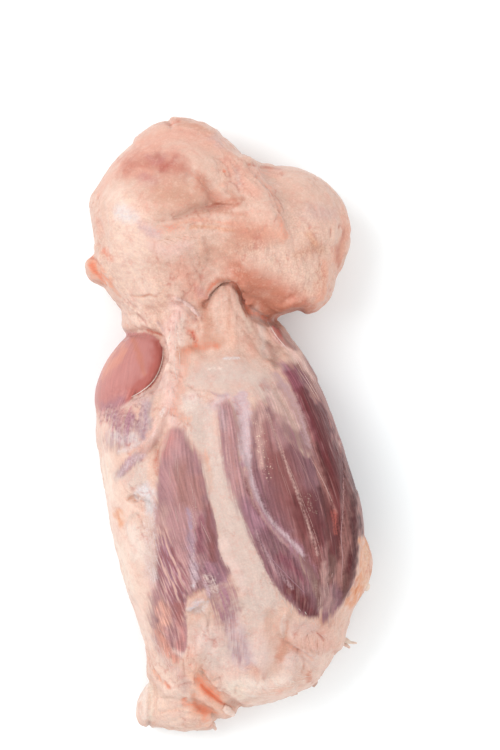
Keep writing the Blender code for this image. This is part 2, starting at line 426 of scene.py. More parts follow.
    def flow_weights(self, tightness: float = 5.0) -> np.ndarray:
        """Weights the edges by how well they follow the flow."""
        run = self.points[self.edges[:, 1]] - self.points[self.edges[:, 0]]
        run /= np.linalg.norm(run, axis=1)[:, None] + 1e-12
        match = (run * self.flow[self.edges[:, 0]]).sum(1) ** 2
        return np.exp(tightness * (match - 1))

    def across_flow(self, rounds: int = 360) -> np.ndarray:
        """Measures millimetres across the flow, true above and let go on the under side.

        Args:
            rounds: steps of the conjugate gradient method.

        Returns:
            One number for each point, alike along a fibre.
        """
        start, end = self.edges[:, 0], self.edges[:, 1]
        cross = np.cross(self.normals, self.flow)
        held = 0.02 + 0.98 * ramp(self.normals[:, 2], -0.7, -0.2)
        held = held[start] * held[end]
        run = (self.points[end] - self.points[start]) / MM
        wanted = held * (0.5 * (cross[start] + cross[end]) * run).sum(1)
        degree = np.bincount(start, held, self.count) + np.bincount(end, held, self.count)
        rest = np.bincount(end, wanted, self.count) - np.bincount(start, wanted, self.count)
        value = np.zeros(self.count)
        scaled = rest / degree
        step = scaled.copy()
        size = rest @ scaled
        for _ in range(rounds):
            pull = held * (step[start] - step[end])
            bent = np.bincount(start, pull, self.count) - np.bincount(end, pull, self.count)
            share = size / (step @ bent)
            value += share * step
            rest -= share * bent
            scaled = rest / degree
            fresh = rest @ scaled
            step = scaled + fresh / size * step
            size = fresh
        return value

    def grain(self, seed: int, weights: np.ndarray, breadth: int, length: int) -> np.ndarray:
        """Makes streaks that follow the flow.

        Args:
            seed: fixes the random start.
            weights: the flow, from flow_weights().
            breadth: rounds that set how wide a streak is.
            length: rounds that set how long it is.

        Returns:
            One number for each point, around 0 with a spread of 1.
        """
        start = np.random.default_rng(seed).normal(size=self.count)
        streaks = self.spread(self.spread(start, breadth), length, weights)
        streaks -= self.spread(streaks, 24 + 4 * breadth)
        return np.clip(streaks / streaks.std(), -3, 3)

    def lumps(self, size: float, seed: float, spots: np.ndarray | None = None) -> np.ndarray:
        """Makes soft lumps.

        Args:
            size: millimetres from one lump to the next.
            seed: moves the pattern.
            spots: where to read it, in millimetres; the points themselves if left out.

        Returns:
            One number for each point, around 0.
        """
        spots = self.points / MM if spots is None else spots
        away = Vector((seed, 2 * seed, 3 * seed))
        return np.array([noise.noise(Vector(p) / size + away) for p in spots])

    def prepare_warp(self) -> None:
        """Makes the noise that pushes the edges of stains and marks about."""
        fine = np.stack([self.lumps(2.6, 4), self.lumps(2.6, 9)], 1)
        broad = np.stack([self.lumps(9, 14), self.lumps(9, 19)], 1)
        # on steep sides the plan is crowded, so edges are pushed about more
        steep = 1 + 1.1 * ramp(0.75 - self.normals[:, 2], 0, 0.7)
        self.warp = (1.5 * fine + 1.6 * broad) * steep[:, None]

    def store(self) -> None:
        """Writes the amounts and colours to the mesh as attributes."""
        for mask, amount in self.amounts.items():
            item = self.mesh.attributes.new(mask.value, "FLOAT", "POINT")
            item.data.foreach_set("value", amount.astype(np.float32))
        veil = self.coats[Coat.VEIL]
        body = self.spread(np.concatenate([veil, self.cover[:, None]], 1), 3)
        hidden = self.cover < 0.04
        veil[hidden] = body[hidden, :3]
        weight = np.where(hidden, body[:, 3], self.cover)
        veil /= weight[:, None] + 1e-6
        for coat, colours in self.coats.items():
            item = self.mesh.attributes.new(coat.value, "FLOAT_COLOR", "POINT")
            alpha = self.cover if coat is Coat.VEIL else np.ones(self.count)
            full = np.concatenate([np.clip(colours, 0, 1), alpha[:, None]], 1)
            item.data.foreach_set("color", full.astype(np.float32).ravel())


# ------------------------------------------------------------------ nodes
class Socket:
    """An output socket that adds Math nodes when it is used in an expression."""

    def __init__(self, tree: "Tree", out: bpy.types.NodeSocket) -> None:
        """Wraps a socket of a tree."""
        self.tree = tree
        self.out = out

    def _math(self, operation: str, *values: "Socket | float") -> "Socket":
        """Adds one Math node."""
        return self.tree.node("ShaderNodeMath", {"operation": operation}, dict(enumerate(values)))

    def __add__(self, other: "Socket | float") -> "Socket":
        """Adds."""
        return self._math("ADD", self, other)

    __radd__ = __add__

    def __sub__(self, other: "Socket | float") -> "Socket":
        """Subtracts."""
        return self._math("SUBTRACT", self, other)

    def __rsub__(self, other: "Socket | float") -> "Socket":
        """Is subtracted."""
        return self._math("SUBTRACT", other, self)

    def __mul__(self, other: "Socket | float") -> "Socket":
        """Multiplies."""
        return self._math("MULTIPLY", self, other)

    __rmul__ = __mul__

    def __abs__(self) -> "Socket":
        """Takes the size without its sign."""
        return self._math("ABSOLUTE", self)

    def ramp(self, low: float, high: float) -> "Socket":
        """Eases from 0 at low to 1 at high."""
        values = {"Value": self, "From Min": low, "From Max": high, "To Min": 0.0, "To Max": 1.0}
        return self.tree.node("ShaderNodeMapRange", {"interpolation_type": "SMOOTHSTEP"}, values)


class Tree:
    """A node tree that is built from calls."""

    def __init__(self, nodes: bpy.types.NodeTree) -> None:
        """Wraps a node tree."""
        self.nodes = nodes

    def node(
        self,
        kind: str,
        settings: dict[str, object] | None = None,
        values: "dict[str | int, object] | None" = None,
        out: str | int = 0,
    ) -> Socket:
        """Adds a node.

        Args:
            kind: the node's type.
            settings: its own settings, set first.
            values: a value or a link for each input socket, by name or number.
            out: the output that the result stands for.

        Returns:
            That output.
        """
        made = self.nodes.nodes.new(kind)
        for name, setting in (settings or {}).items():
            setattr(made, name, setting)
        for name, value in (values or {}).items():
            if isinstance(value, Socket):
                self.nodes.links.new(value.out, made.inputs[name])
            else:
                made.inputs[name].default_value = value
        return Socket(self, made.outputs[out])

    def mix(self, share: "Socket | float", low: "Socket | Colour", high: "Socket | Colour",
            way: str = "MIX") -> Socket:
        """Mixes two colours.

        Args:
            share: how much of the second.
            low, high: the colours.
            way: the blend type.

        Returns:
            The mixed colour.
        """
        low, high = (c if isinstance(c, Socket) else (*c, 1.0) for c in (low, high))
        values = {0: share, 6: low, 7: high}
        return self.node("ShaderNodeMix", {"data_type": "RGBA", "blend_type": way}, values, 2)

    def shaded(self, colour: Socket, shade: Socket) -> Socket:
        """Multiplies a colour by a number around 1."""
        grey = self.node("ShaderNodeCombineColor", {}, {0: shade, 1: shade, 2: shade})
        return self.mix(1.0, colour, grey, "MULTIPLY")

    def amount(self, name: str, out: str = "Fac") -> Socket:
        """Reads a number or, with out, the colour or its cover that the mesh carries."""
        return self.node("ShaderNodeAttribute", {"attribute_name": name}, out=out)

    def place(self, scale: float = 1000.0) -> Socket:
        """Gives the place on the object, in millimetres."""
        spot = self.node("ShaderNodeTexCoord", out="Object")
        return self.node("ShaderNodeMapping", {}, {"Vector": spot, "Scale": (scale,) * 3})

    def speckle(self, spot: Socket, size: float, detail: float = 2.0) -> Socket:
        """Makes noise around 0, to about 0.5 each way, with lumps this many millimetres wide."""
        values = {"Vector": spot, "Scale": 1 / size, "Detail": detail}
        return self.node("ShaderNodeTexNoise", {}, values) - 0.5

    def fibres(self, breadth: float, length: float, detail: float = 1.0) -> Socket:
        """Makes noise around 0 that is drawn out along the flow.

        Args:
            breadth: millimetres across a streak.
            length: millimetres along it.
            detail: the noise's detail.

        Returns:
            The noise.
        """
        parts = self.node("ShaderNodeSeparateXYZ", {}, {0: self.place()})
        down = Socket(self, parts.out.node.outputs[1])
        high = Socket(self, parts.out.node.outputs[2])
        values = {0: self.amount("across") * (1 / breadth), 1: parts * (1 / length),
                  2: (down + high) * (1 / length)}
        spot = self.node("ShaderNodeCombineXYZ", {}, values)
        made = self.node("ShaderNodeTexNoise", {}, {"Vector": spot, "Scale": 1.0, "Detail": detail})
        return (made - 0.5) * self.amount("above")


# ------------------------------------------------------------------ finishes
@dataclass(frozen=True)
class MeatFinish:
    """Moist fat, lean and sinew, told apart by what the skin carries; the colour also holds painted glint highlights,
    pale bundle lines that are partly painted highlight, and painted shade in the sunk creases.
    """

    cream: Colour = rgb(254, 222, 205)
    pink: Colour = rgb(232, 158, 142)
    # red of fine veins, also the painted shade along sunk creases
    vein_and_crease_shade: Colour = rgb(206, 112, 96)
    # pale of the fat's cells, also the white of the painted glint highlights
    cell: Colour = rgb(255, 230, 204)
    marbling: Colour = rgb(222, 172, 166)
    gristle: Colour = rgb(232, 204, 198)
    plum: Colour = rgb(124, 74, 92)
    # pale of the muscle bundles, partly painted highlight on their ridges
    bundle: Colour = rgb(236, 190, 174)
    gap: Colour = rgb(150, 84, 82)
    fat_roughness: float = 0.44
    lean_roughness: float = 0.34
    depth: float = 0.0013

    def material(self) -> bpy.types.Material:
        """Builds the material."""
        made = bpy.data.materials.new("raw_meat_moist")
        made.use_nodes = True
        tree = Tree(made.node_tree)
        shader = made.node_tree.nodes["Principled BSDF"]
        grain, wrinkle = tree.amount("grain"), tree.amount("wrinkle")
        spot = tree.place()
        fine = tree.speckle(spot, 0.7, 3.0)
        fleck = tree.speckle(spot, 2.0, 2.0)
        soft = tree.speckle(spot, 4.5, 3.0)
        wide = tree.speckle(spot, 13.0, 2.0)
        hair = tree.fibres(0.5, 11.0)
        fibre = tree.fibres(1.3, 16.0)
        band = tree.fibres(4.0, 20.0, 2.0)
        strand = tree.fibres(0.7, 8.0)
        thread = tree.fibres(0.6, 18.0).ramp(0.06, 0.13)
        feather = hair * 1.8 + fibre * 0.9 + band * 0.3 + fine * 0.6 + grain * 0.05

        def frayed(share: Socket, shift: Socket) -> Socket:
            """Draws the edge of a patch out."""
            return share + shift * (share * (1.0 - share) * 4.0)

        lean = frayed(tree.amount("lean"), feather)
        along = lean * 0.8 + 0.15
        calm = 1.0 - tree.amount("smooth") * 0.4
        even = 1.0 - tree.amount("smooth") * 0.9
        fat_tone = tree.amount("fat_tone", "Color")
        fat_tone = tree.mix((soft + wide * 0.7).ramp(0.02, 0.3) * 0.22, fat_tone, self.pink)
        fat_tone = tree.mix((0.0 - soft + wide * 0.5).ramp(0.02, 0.3) * 0.14, fat_tone, self.cream)
        vein_and_crease_shade = abs(tree.speckle(spot, 6.5, 4.0) + band * 0.3)
        fat_tone = tree.mix((0.012 - vein_and_crease_shade).ramp(-0.012, 0.01) * calm * 0.1, fat_tone, self.vein_and_crease_shade)
        fat_tone = tree.mix((fleck + fine * 0.3).ramp(0.03, 0.2) * calm * 0.22, fat_tone, self.pink)
        fat_tone = tree.mix((0.0 - fleck + fine * 0.3).ramp(0.03, 0.2) * calm * 0.18, fat_tone, self.cream)
        cells = tree.amount("cells")
        beads = (fleck + fine * 0.8 + hair * 0.4).ramp(-0.02, 0.16)
        fat_tone = tree.mix(beads * cells * 0.3, fat_tone, self.cell)
        fat_tone = tree.mix((0.0 - fleck).ramp(0.0, 0.16) * cells * 0.14, fat_tone, self.vein_and_crease_shade)
        # painted shade: the sunk creases made darker, partly also their own redder tone
        fat_tone = tree.mix(tree.amount("crease") * (0.5 + soft * 2.5) * 0.5, fat_tone, self.vein_and_crease_shade)
        fat_tone = tree.shaded(fat_tone, 1.0 + (hair * 0.12 + fibre * 0.1 + fine * 0.36 + wrinkle * 0.015) * calm)
        lean_tone = tree.amount("lean_tone", "Color")
        lean_tone = tree.mix(thread * (0.5 + fibre * 3.0 + soft * 2.0) * even * 0.22, lean_tone, self.marbling)
        streak = hair * 1.2 + fibre * 0.35 + fine * 0.45 + grain * 0.03
        lean_tone = tree.shaded(lean_tone, 1.0 + streak * even)
        bundles = tree.amount("bundles")
        ridge = strand.ramp(0.02, 0.11)
        lean_tone = tree.mix((0.0 - strand).ramp(0.0, 0.1) * bundles * 0.7, lean_tone, self.gap)
        # pale lines on the raised bundles: partly the fibres' own pale tone, partly painted highlight on the ridges
        lean_tone = tree.mix(ridge * (0.8 + hair * 1.5) * bundles, lean_tone, self.bundle)
        base = tree.mix(lean, fat_tone, lean_tone)
        veil = frayed(tree.amount("veil", "Alpha"), fine * 1.2 + soft * 0.8 + hair * 1.5 * along)
        base = tree.mix(veil, base, tree.shaded(tree.amount("veil", "Color"), 1.0 + hair * 0.4 + fine * 0.3))
        spots = tree.speckle(spot, 1.3, 1.0) + hair * 0.3
        spotted = tree.amount("spotted")
        base = tree.mix(spots.ramp(0.02, 0.18) * spotted * 0.45, base, self.plum)
        base = tree.mix((0.0 - spots).ramp(0.04, 0.2) * spotted * 0.4, base, self.gristle)
        # painted highlights: white specks for wet glints, laid into the base colour
        glints = (tree.speckle(spot, 0.8, 1.0) + fibre * 0.2).ramp(0.12, 0.24) * tree.amount("glints")
        base = tree.mix(glints * 0.6, base, self.cell)
        rough = self.fat_roughness + lean * (self.lean_roughness - self.fat_roughness) + fine * 0.2 - glints * 0.15
        height = (fine * 0.5 + (hair * 0.5 + fibre * 0.4) * along) * even
        height = height + thread * lean * 0.1 + ridge * bundles * 0.3
        bump = tree.node("ShaderNodeBump", {}, {"Strength": 0.5, "Distance": 0.0005, "Height": height})
        links = made.node_tree.links
        links.new(base.out, shader.inputs["Base Color"])
        links.new(rough.out, shader.inputs["Roughness"])
        links.new((0.2 - lean * 0.18).out, shader.inputs["Coat Weight"])
        links.new(bump.out, shader.inputs["Normal"])
        shader.inputs["Subsurface Weight"].default_value = 0.15
        shader.inputs["Subsurface Radius"].default_value = (1.0, 0.55, 0.45)
        shader.inputs["Subsurface Scale"].default_value = self.depth
        shader.inputs["Coat Roughness"].default_value = 0.2
        shader.inputs["Specular IOR Level"].default_value = 0.08
        return made


@dataclass(frozen=True)
class ShredFinish:
    """Thin moist sinew and shreds of fat, in the colour that each carries."""

    name: str
    roughness: float = 0.36
    grain_size: float = 0.9
    contrast: float = 0.3

    def material(self) -> bpy.types.Material:
        """Builds the material."""
        made = bpy.data.materials.new(self.name)
        made.use_nodes = True
        tree = Tree(made.node_tree)
        shader = made.node_tree.nodes["Principled BSDF"]
        spot = tree.place()
        fine = tree.speckle(spot, self.grain_size, 3.0)
        soft = tree.speckle(spot, 3.2, 2.0)
        base = tree.shaded(tree.amount("tone", "Color"), 1.0 + fine * self.contrast + soft * 0.3)
        rough = self.roughness + fine * 0.25
        bump = tree.node("ShaderNodeBump", {}, {"Strength": 0.4, "Distance": 0.0003, "Height": fine})
        links = made.node_tree.links
        links.new(base.out, shader.inputs["Base Color"])
        links.new(rough.out, shader.inputs["Roughness"])
        links.new(bump.out, shader.inputs["Normal"])
        shader.inputs["Subsurface Weight"].default_value = 0.15
        shader.inputs["Subsurface Radius"].default_value = (1.0, 0.6, 0.5)
        shader.inputs["Subsurface Scale"].default_value = 0.001
        shader.inputs["Coat Weight"].default_value = 0.2
        shader.inputs["Coat Roughness"].default_value = 0.2
        return made


# ------------------------------------------------------------------ parts of the knuckle
@dataclass(frozen=True)
class Region:
    """One part of the knuckle: its folds, flow, colours, marks, strands and shreds."""

    folds: tuple[Fold, ...] = ()
    flows: tuple[Course, ...] = ()
    fat: tuple[Stain, ...] = ()
    lean: tuple[Stain, ...] = ()
    veil: tuple[Stain, ...] = ()
    marks: tuple[Mark, ...] = ()
    patches: tuple[Patch, ...] = ()
    strands: tuple[Strand, ...] = ()
    sheaves: tuple[Sheaf, ...] = ()
    shreds: tuple[Shred, ...] = ()

    def carve(self, skin: Skin) -> None:
        """Adds the folds to the skin."""
        skin.fold(self.folds)

    def colour(self, skin: Skin) -> None:
        """Adds the colours and marks to the skin."""
        skin.stain(Coat.FAT, self.fat)
        skin.stain(Coat.LEAN, self.lean)
        skin.stain(Coat.VEIL, self.veil)
        skin.mark(self.marks)
        skin.fill(self.patches)


@dataclass(frozen=True)
class FatCap(Region):
    """The rounded cap of fat at the rear."""

    folds: tuple[Fold, ...] = (
        Fold(-0.3, ((-26, 79, 1.4), (-20, 80.3, 1.6), (-12, 83, 1.6), (-6, 85, 1.4)), True),
        Fold(2.0, ((-12, 95, 4.5), (-9, 90, 5.5), (-4, 88, 5.5), (3, 87, 4.5))),
        Fold(2.6, ((-9, 50, 2), (-6, 55, 2.6), (-2.4, 58, 2.8), (2.4, 58.2, 2.8), (6.4, 54.5, 2.6), (8.8, 49, 2))),
        Fold(-0.5, ((-15, 98, 0.9), (-11, 94, 1.1), (-8, 89, 1.1), (-4, 86, 1), (2, 85, 0.9)), True),
        Fold(-0.4, ((-20, 80.6, 0.9), (-12, 83.4, 1), (-7, 84.8, 0.9)), True),
        Fold(1.5, ((-35, 111.5, 3), (-30, 115, 4), (-25, 116.5, 3.5))),
        Fold(-1.0, ((-23, 119, 1.2), (-22, 116.5, 1.2)), True),
        Fold(-1.3, ((-2, 112.5, 3), (1, 109.5, 3), (5, 106.5, 2.5))),
        Fold(1.1, ((8.6, 103.4, 2.4), (13, 101.6, 2.6), (17, 101, 2))),
        Fold(-0.9, ((-54.5, 84, 3), (-54, 78, 3), (-52.5, 72, 2.6))),
        Fold(-0.6, ((-27, 75, 1.1), (-20, 76.6, 1.3), (-12, 77.5, 1.0)), True),
        Fold(-0.5, ((-24, 72.4, 1.0), (-16, 74, 1.2), (-5, 75.6, 1.0)), True),
        Fold(-0.5, ((-10, 79.4, 1.0), (-2, 80.6, 1.2), (6, 80.2, 1.0)), True),
        Fold(-0.5, ((-9, 73, 1.0), (-7, 68, 1.3), (-8, 62, 1.0)), True),
        Fold(-0.5, ((5, 92, 1.0), (4, 97, 1.2), (2, 101, 1.0)), True),
        Fold(0.8, ((-21.5, 120, 1.5), (-14, 118.5, 2), (-5, 114.8, 2))),
        Fold(-0.7, ((9, 101, 1.3), (14, 95, 1.6), (18, 90, 1.3)), True),
        Fold(-0.6, ((19, 86, 1.2), (23, 80, 1.3), (25.5, 74, 1.1)), True),
        Fold(-0.5, ((45.5, 77, 1.4), (43.5, 70, 1.7), (43, 62, 1.5)), True),
        Fold(0.5, ((41.5, 80, 1.4), (41.2, 72, 1.5), (41, 64, 1.3))),
        Fold(-0.4, ((40.2, 77.5, 0.8), (40, 73, 0.9)), True),
        Fold(0.6, ((22, 46.5, 2), (27.5, 48.8, 2.2), (31, 47.5, 1.8))),
        Fold(-0.6, ((20.5, 48, 1.1), (27, 51, 1.2), (32, 49, 1.1), (38, 50.5, 1.0)), True),
        Fold(0.9, ((9.3, 48.4, 1.9),)),
        Fold(-0.5, ((30, 77, 1.0), (33.5, 71, 1.2), (37, 65, 1.0)), True),
        Fold(-0.5, ((25.5, 74, 1.0), (27, 66, 1.2), (29, 59, 1.0)), True),
        Fold(-0.7, ((-47.5, 84, 1.2), (-46.5, 76, 1.3), (-47.5, 70, 1.1)), True),
        Fold(-0.8, ((-48, 66, 1.0), (-46.5, 61, 1.2), (-44.5, 57, 1.1)), True),
        Fold(-0.4, ((-40, 74, 0.9), (-37.5, 70.5, 1.0)), True),
    )
    flows: tuple[Course, ...] = (
        ((-50, 68, 6), (-30, 76, 6), (-12, 82, 5), (-2, 86, 5)),
        ((-34, 98, 8), (-18, 101, 6), (-8, 92, 5), (0, 86, 5)),
        ((4, 104, 5), (12, 90, 5), (22, 76, 5)),
        ((30, 96, 6), (42, 84, 6), (44, 70, 5)),
        ((24, 70, 5), (26, 60, 5), (30, 52, 5)),
        ((-4, 72, 6), (14, 71, 6)),
        ((-34, 66, 6), (-36, 50, 6)),
        ((-16, 62, 5), (-14, 48, 4)),
        ((-46, 96, 6), (-36, 110, 6), (-20, 117, 6), (-6, 113, 5)),
    )
    fat: tuple[Stain, ...] = (
        Stain(Tone.APRICOT, 0.9, ((-32, 112, 8), (-16, 114, 9), (-4, 110, 7))),
        Stain(Tone.SAND, 0.5, ((-38, 108, 3), (-31, 114, 3.5), (-25, 116, 3))),
        Stain(Tone.APRICOT, 0.6, ((-49, 93, 4), (-43, 100, 4), (-35, 106, 4), (-27, 110, 3))),
        Stain(Tone.CLAY, 0.6, ((-19, 118.5, 2.5), (-13, 117.5, 3), (-7, 115, 2.5))),
        Stain(Tone.BLUSH, 0.7, ((-5, 113, 3.5), (-3, 109, 3.5))),
        Stain(Tone.RUST, 0.6, ((-38, 100, 7), (-30, 102, 9), (-22, 101, 9), (-18, 100, 8))),
        Stain(Tone.BRICK, 0.5, ((-27, 106, 3.5), (-24, 100, 4))),
        Stain(Tone.ROSE, 0.7, ((-33, 97, 3), (-28, 94.5, 4))),
        Stain(Tone.ROSE, 0.5, ((-31, 105, 2), (-27.6, 102.4, 2.4), (-24, 104.4, 2.2))),
        Stain(Tone.BRICK, 0.5, ((-25, 99.6, 2), (-21.6, 101.4, 2.4), (-19, 104, 2))),
        Stain(Tone.APRICOT, 0.5, ((-38, 96, 2.4), (-33, 99.4, 2), (-29, 98.4, 1.6))),
        Stain(Tone.SAND, 0.4, ((-14, 108, 3), (-9, 112, 3.4))),
        Stain(Tone.CLAY, 0.6, ((-11, 82, 1.6), (-5, 83.4, 1.8), (1, 82.6, 1.6), (8, 81.6, 1.4))),
        Stain(Tone.SAND, 0.7, ((-20, 87, 4), (-14.6, 88.4, 5), (-11, 91, 3))),
        Stain(Tone.CLAY, 0.75, ((28, 66, 4), (32.4, 69, 5), (37, 68, 4))),
        Stain(Tone.SHELL, 0.7, ((-3, 71, 4), (-3, 66, 3))),
        Stain(Tone.CLAY, 0.7, ((4, 87, 3), (8, 86.4, 3))),
        # painted shade: warm brown along the crease where the cap's lip meets the tendon and the neck
        Stain(Tone.COCOA, 0.85, ((6.4, 50.4, 1.8), (8, 46.4, 2.2), (11, 43.6, 2.4), (15, 41.6, 2.4), (20, 41.4, 2))),
        Stain(Tone.COPPER, 0.7, ((-8.8, 49, 1.4), (-6.8, 54, 1.6), (-3, 56.8, 1.6), (1.8, 56.8, 1.6),
                                 (5.2, 53.4, 1.6))),
        Stain(Tone.MELON, 0.6, ((-20, 78.6, 1.4), (-12, 79.8, 1.6), (-4, 79, 1.6), (4, 78.4, 1.4))),
        Stain(Tone.AMBER, 0.5, ((-14, 77, 1.2), (-6, 77, 1.4), (2, 76, 1.4))),
        Stain(Tone.SHELL, 0.6, ((-7, 73, 2), (-5, 68, 2.6), (-6, 63, 2.2), (-4, 59, 2))),
        Stain(Tone.PEACH, 0.5, ((-10.6, 73, 1.2), (-10, 67, 1.6), (-10.6, 61, 1.2))),
        Stain(Tone.PEACH, 0.5, ((-3, 92, 2.4), (0, 96, 2.4), (-3, 101, 2))),
        Stain(Tone.CLAY, 0.5, ((1, 91, 1.8), (4, 88, 2.2), (7, 86.6, 1.6))),
        Stain(Tone.CLAY, 0.8, ((-24, 90, 12), (-13, 88, 10))),
        # painted shade: a darker wedge in the valley at the crown's middle
        Stain(Tone.COPPER, 0.75, ((-11, 96, 4), (-8, 92, 4.6), (-3, 87.4, 5), (4, 86.5, 4))),
        Stain(Tone.SHELL, 0.9, ((-42, 88, 8), (-38, 76, 13), (-36, 62, 12), (-31, 52, 8))),
        Stain(Tone.PEARL, 0.7, ((-41, 83, 5), (-36, 80, 4))),
        Stain(Tone.MIST, 0.6, ((-33, 77, 3.5), (-27, 75, 4))),
        Stain(Tone.PETAL, 0.6, ((-29, 70, 4), (-22, 68, 5), (-16, 69, 4))),
        Stain(Tone.APRICOT, 0.6, ((-50.5, 80, 2.5), (-49.5, 76, 2.5))),
        Stain(Tone.CORAL, 0.6, ((-47.5, 68, 2.4), (-46, 65.5, 2.6))),
        Stain(Tone.APRICOT, 0.7, ((0, 104, 6), (5, 97, 6), (10, 90, 6))),
        Stain(Tone.SAND, 0.85, ((8, 86, 5), (13, 84, 6), (17, 82, 5))),
        Stain(Tone.APRICOT, 0.75, ((9, 98.5, 3), (15, 99, 3), (20, 98.5, 2.5))),
        Stain(Tone.BLUSH, 0.6, ((4, 99, 2), (5, 94, 2.4))),
        Stain(Tone.SAND, 0.9, ((18, 96, 5), (26, 94, 8), (35, 88, 8), (39, 80, 7))),
        Stain(Tone.TAN, 0.7, ((21, 90, 4), (27, 87, 5), (32, 84, 4))),
        Stain(Tone.BLUSH, 0.75, ((32, 83, 6), (39, 83, 5))),
        Stain(Tone.SAND, 0.7, ((26, 80, 3.5), (31, 76, 3.5))),
        Stain(Tone.MELON, 0.7, ((45, 84, 4), (46, 74, 4), (43, 64, 4))),
        Stain(Tone.AMBER, 0.35, ((32, 74, 3), (34, 71, 2.5))),
        Stain(Tone.MELON, 0.6, ((8, 77, 8), (20, 75, 6))),
        Stain(Tone.COPPER, 0.6, ((4, 76, 7), (12, 72, 8))),
        # tan of the fat, darker where the lip turns down away from the light: partly painted shade
        Stain(Tone.COPPER, 0.95, ((3, 61, 8), (10, 55, 11), (19, 52, 11), (27, 50, 7))),
        Stain(Tone.COPPER, 0.7, ((4, 58, 4), (9, 52, 5), (14, 46, 5))),
        Stain(Tone.COPPER, 0.9, ((10, 46, 4), (16, 45.4, 5), (24, 45.6, 5), (32, 46, 4)), 0.6),
        Stain(Tone.APRICOT, 0.5, ((24, 49, 2), (30, 50.4, 2.4), (36, 50.6, 2))),
        Stain(Tone.MELON, 0.7, ((38, 62, 5), (37, 54, 5), (35, 46, 4))),
        Stain(Tone.CLAY, 0.7, ((-4, 68, 9), (6, 70, 8))),
        Stain(Tone.APRICOT, 0.8, ((-18, 61, 6), (-14, 54, 6), (-11, 49, 5))),
        Stain(Tone.ROSE, 0.6, ((-11, 53, 3), (-8.5, 50.5, 2.5))),
    )
    veil: tuple[Stain, ...] = (
        Stain(Tone.CORAL, 0.25, ((-26, 76, 2.4), (-22, 77.6, 2.8), (-18, 77.6, 2))),
        Stain(Tone.CORAL, 0.2, ((12, 96.5, 2), (15.5, 93, 2.2), (17.6, 89, 2), (20, 84, 1.6))),
        Stain(Tone.CORAL, 0.25, ((20.4, 81, 2), (21.6, 77.5, 2.6), (23, 74, 1.8))),
        Stain(Tone.CORAL, 0.8, ((-1, 99, 1.2),)),
        Stain(Tone.RUST, 0.12, ((2, 88, 1.2), (4, 86.4, 1.6), (6, 85, 1.2))),
        # painted shade: thin dark lines along the crown's creases
        Stain(Tone.COPPER, 0.3, ((-16, 99.4, 0.9), (-12, 96, 1), (-9.6, 92, 1), (-8, 89, 1.1), (-4, 86, 1.2))),
        Stain(Tone.RUST, 0.35, ((-25, 79.4, 0.8), (-18, 80.6, 0.9), (-12, 83, 1), (-7, 84.8, 1), (-3, 86.2, 1))),
        Stain(Tone.BRICK, 0.4, ((45.4, 76, 1.2), (43.4, 70, 1.5), (43, 62.5, 1.3))),
        Stain(Tone.RUST, 0.6, ((43, 78.4, 0.9), (42.8, 77.6, 0.8))),
        Stain(Tone.RUST, 0.5, ((40, 76.6, 0.7), (39.8, 74, 0.7))),
        Stain(Tone.MELON, 0.85, ((-53.6, 65, 3.4), (-51.6, 61.6, 4), (-49, 58.4, 3.6), (-46.8, 56.4, 2.6)), 0.7),
        Stain(Tone.CORAL, 0.6, ((-53, 63, 2), (-50.6, 60, 2.2), (-48, 57.6, 1.8))),
        Stain(Tone.RUST, 0.6, ((-54, 65.6, 0.8), (-51.5, 65.4, 0.9), (-49.6, 63, 0.8))),
        Stain(Tone.MELON, 0.6, ((-45.6, 55.6, 1), (-43.6, 52.6, 1.1), (-42, 50.4, 1))),
        Stain(Tone.COPPER, 0.8, ((9.4, 48.4, 1.6),)),
        # painted shadow: reddish-brown line of the ridge's shadow along the cap's top edge
        Stain(Tone.RUST, 0.5, ((8, 101.6, 0.8), (14, 101, 0.9), (20, 100.2, 0.8))),
        # painted shadow: the dark line at the foot of the cap's lip, round the tendon's tip and on along the neck
        Stain(Tone.CORAL, 0.5, ((-7.6, 53, 0.9), (-4, 55.8, 0.9), (1.6, 55.8, 0.8), (4.4, 53, 1),
                                       (6.6, 48, 1.1), (8.6, 45.4, 1.2), (12, 43.4, 1.2), (16, 41.2, 1.2))),
        Stain(Tone.RUST, 0.35, ((16, 41.4, 1.1), (20, 42, 1), (26, 43.6, 0.8))),
    )
    marks: tuple[Mark, ...] = (
        Mark(Mask.CELLS, 0.9, ((-40, 82, 8), (-42, 68, 10), (-34, 56, 10), (-30, 46, 8)), 4),
        Mark(Mask.CELLS, 1.0, ((10, 68, 3), (20, 65, 5), (28, 62, 6), (34, 58, 5), (32, 54, 4)), 7),
        Mark(Mask.CELLS, 0.7, ((30, 78, 6), (38, 70, 6)), 4),
        Mark(Mask.SMOOTH, 0.8, ((-44, 97, 8), (-30, 104, 12), (-14, 106, 9)), 5),
        Mark(Mask.SMOOTH, 0.6, ((-24, 92, 8), (-14, 89, 6)), 4),
        Mark(Mask.SMOOTH, 0.7, ((-43, 82, 8), (-38, 66, 10), (-34, 56, 6)), 5),
        Mark(Mask.SMOOTH, 0.6, ((26, 94, 6), (36, 86, 6)), 4),
        Mark(Mask.SMOOTH, 0.5, ((12, 56, 7), (20, 50, 6)), 4),
    )
    sheaves: tuple[Sheaf, ...] = (
        Sheaf(Tone.SAND, 26, 2.2, 0.18, 0.25, ((14, 68, 4), (22, 64, 6), (30, 61, 7), (35, 58, 5))),
        Sheaf(Tone.CLAY, 12, 6, 0.11, 0.2, ((-28, 74, 4), (-16, 76, 5), (-4, 76, 5))),
    )


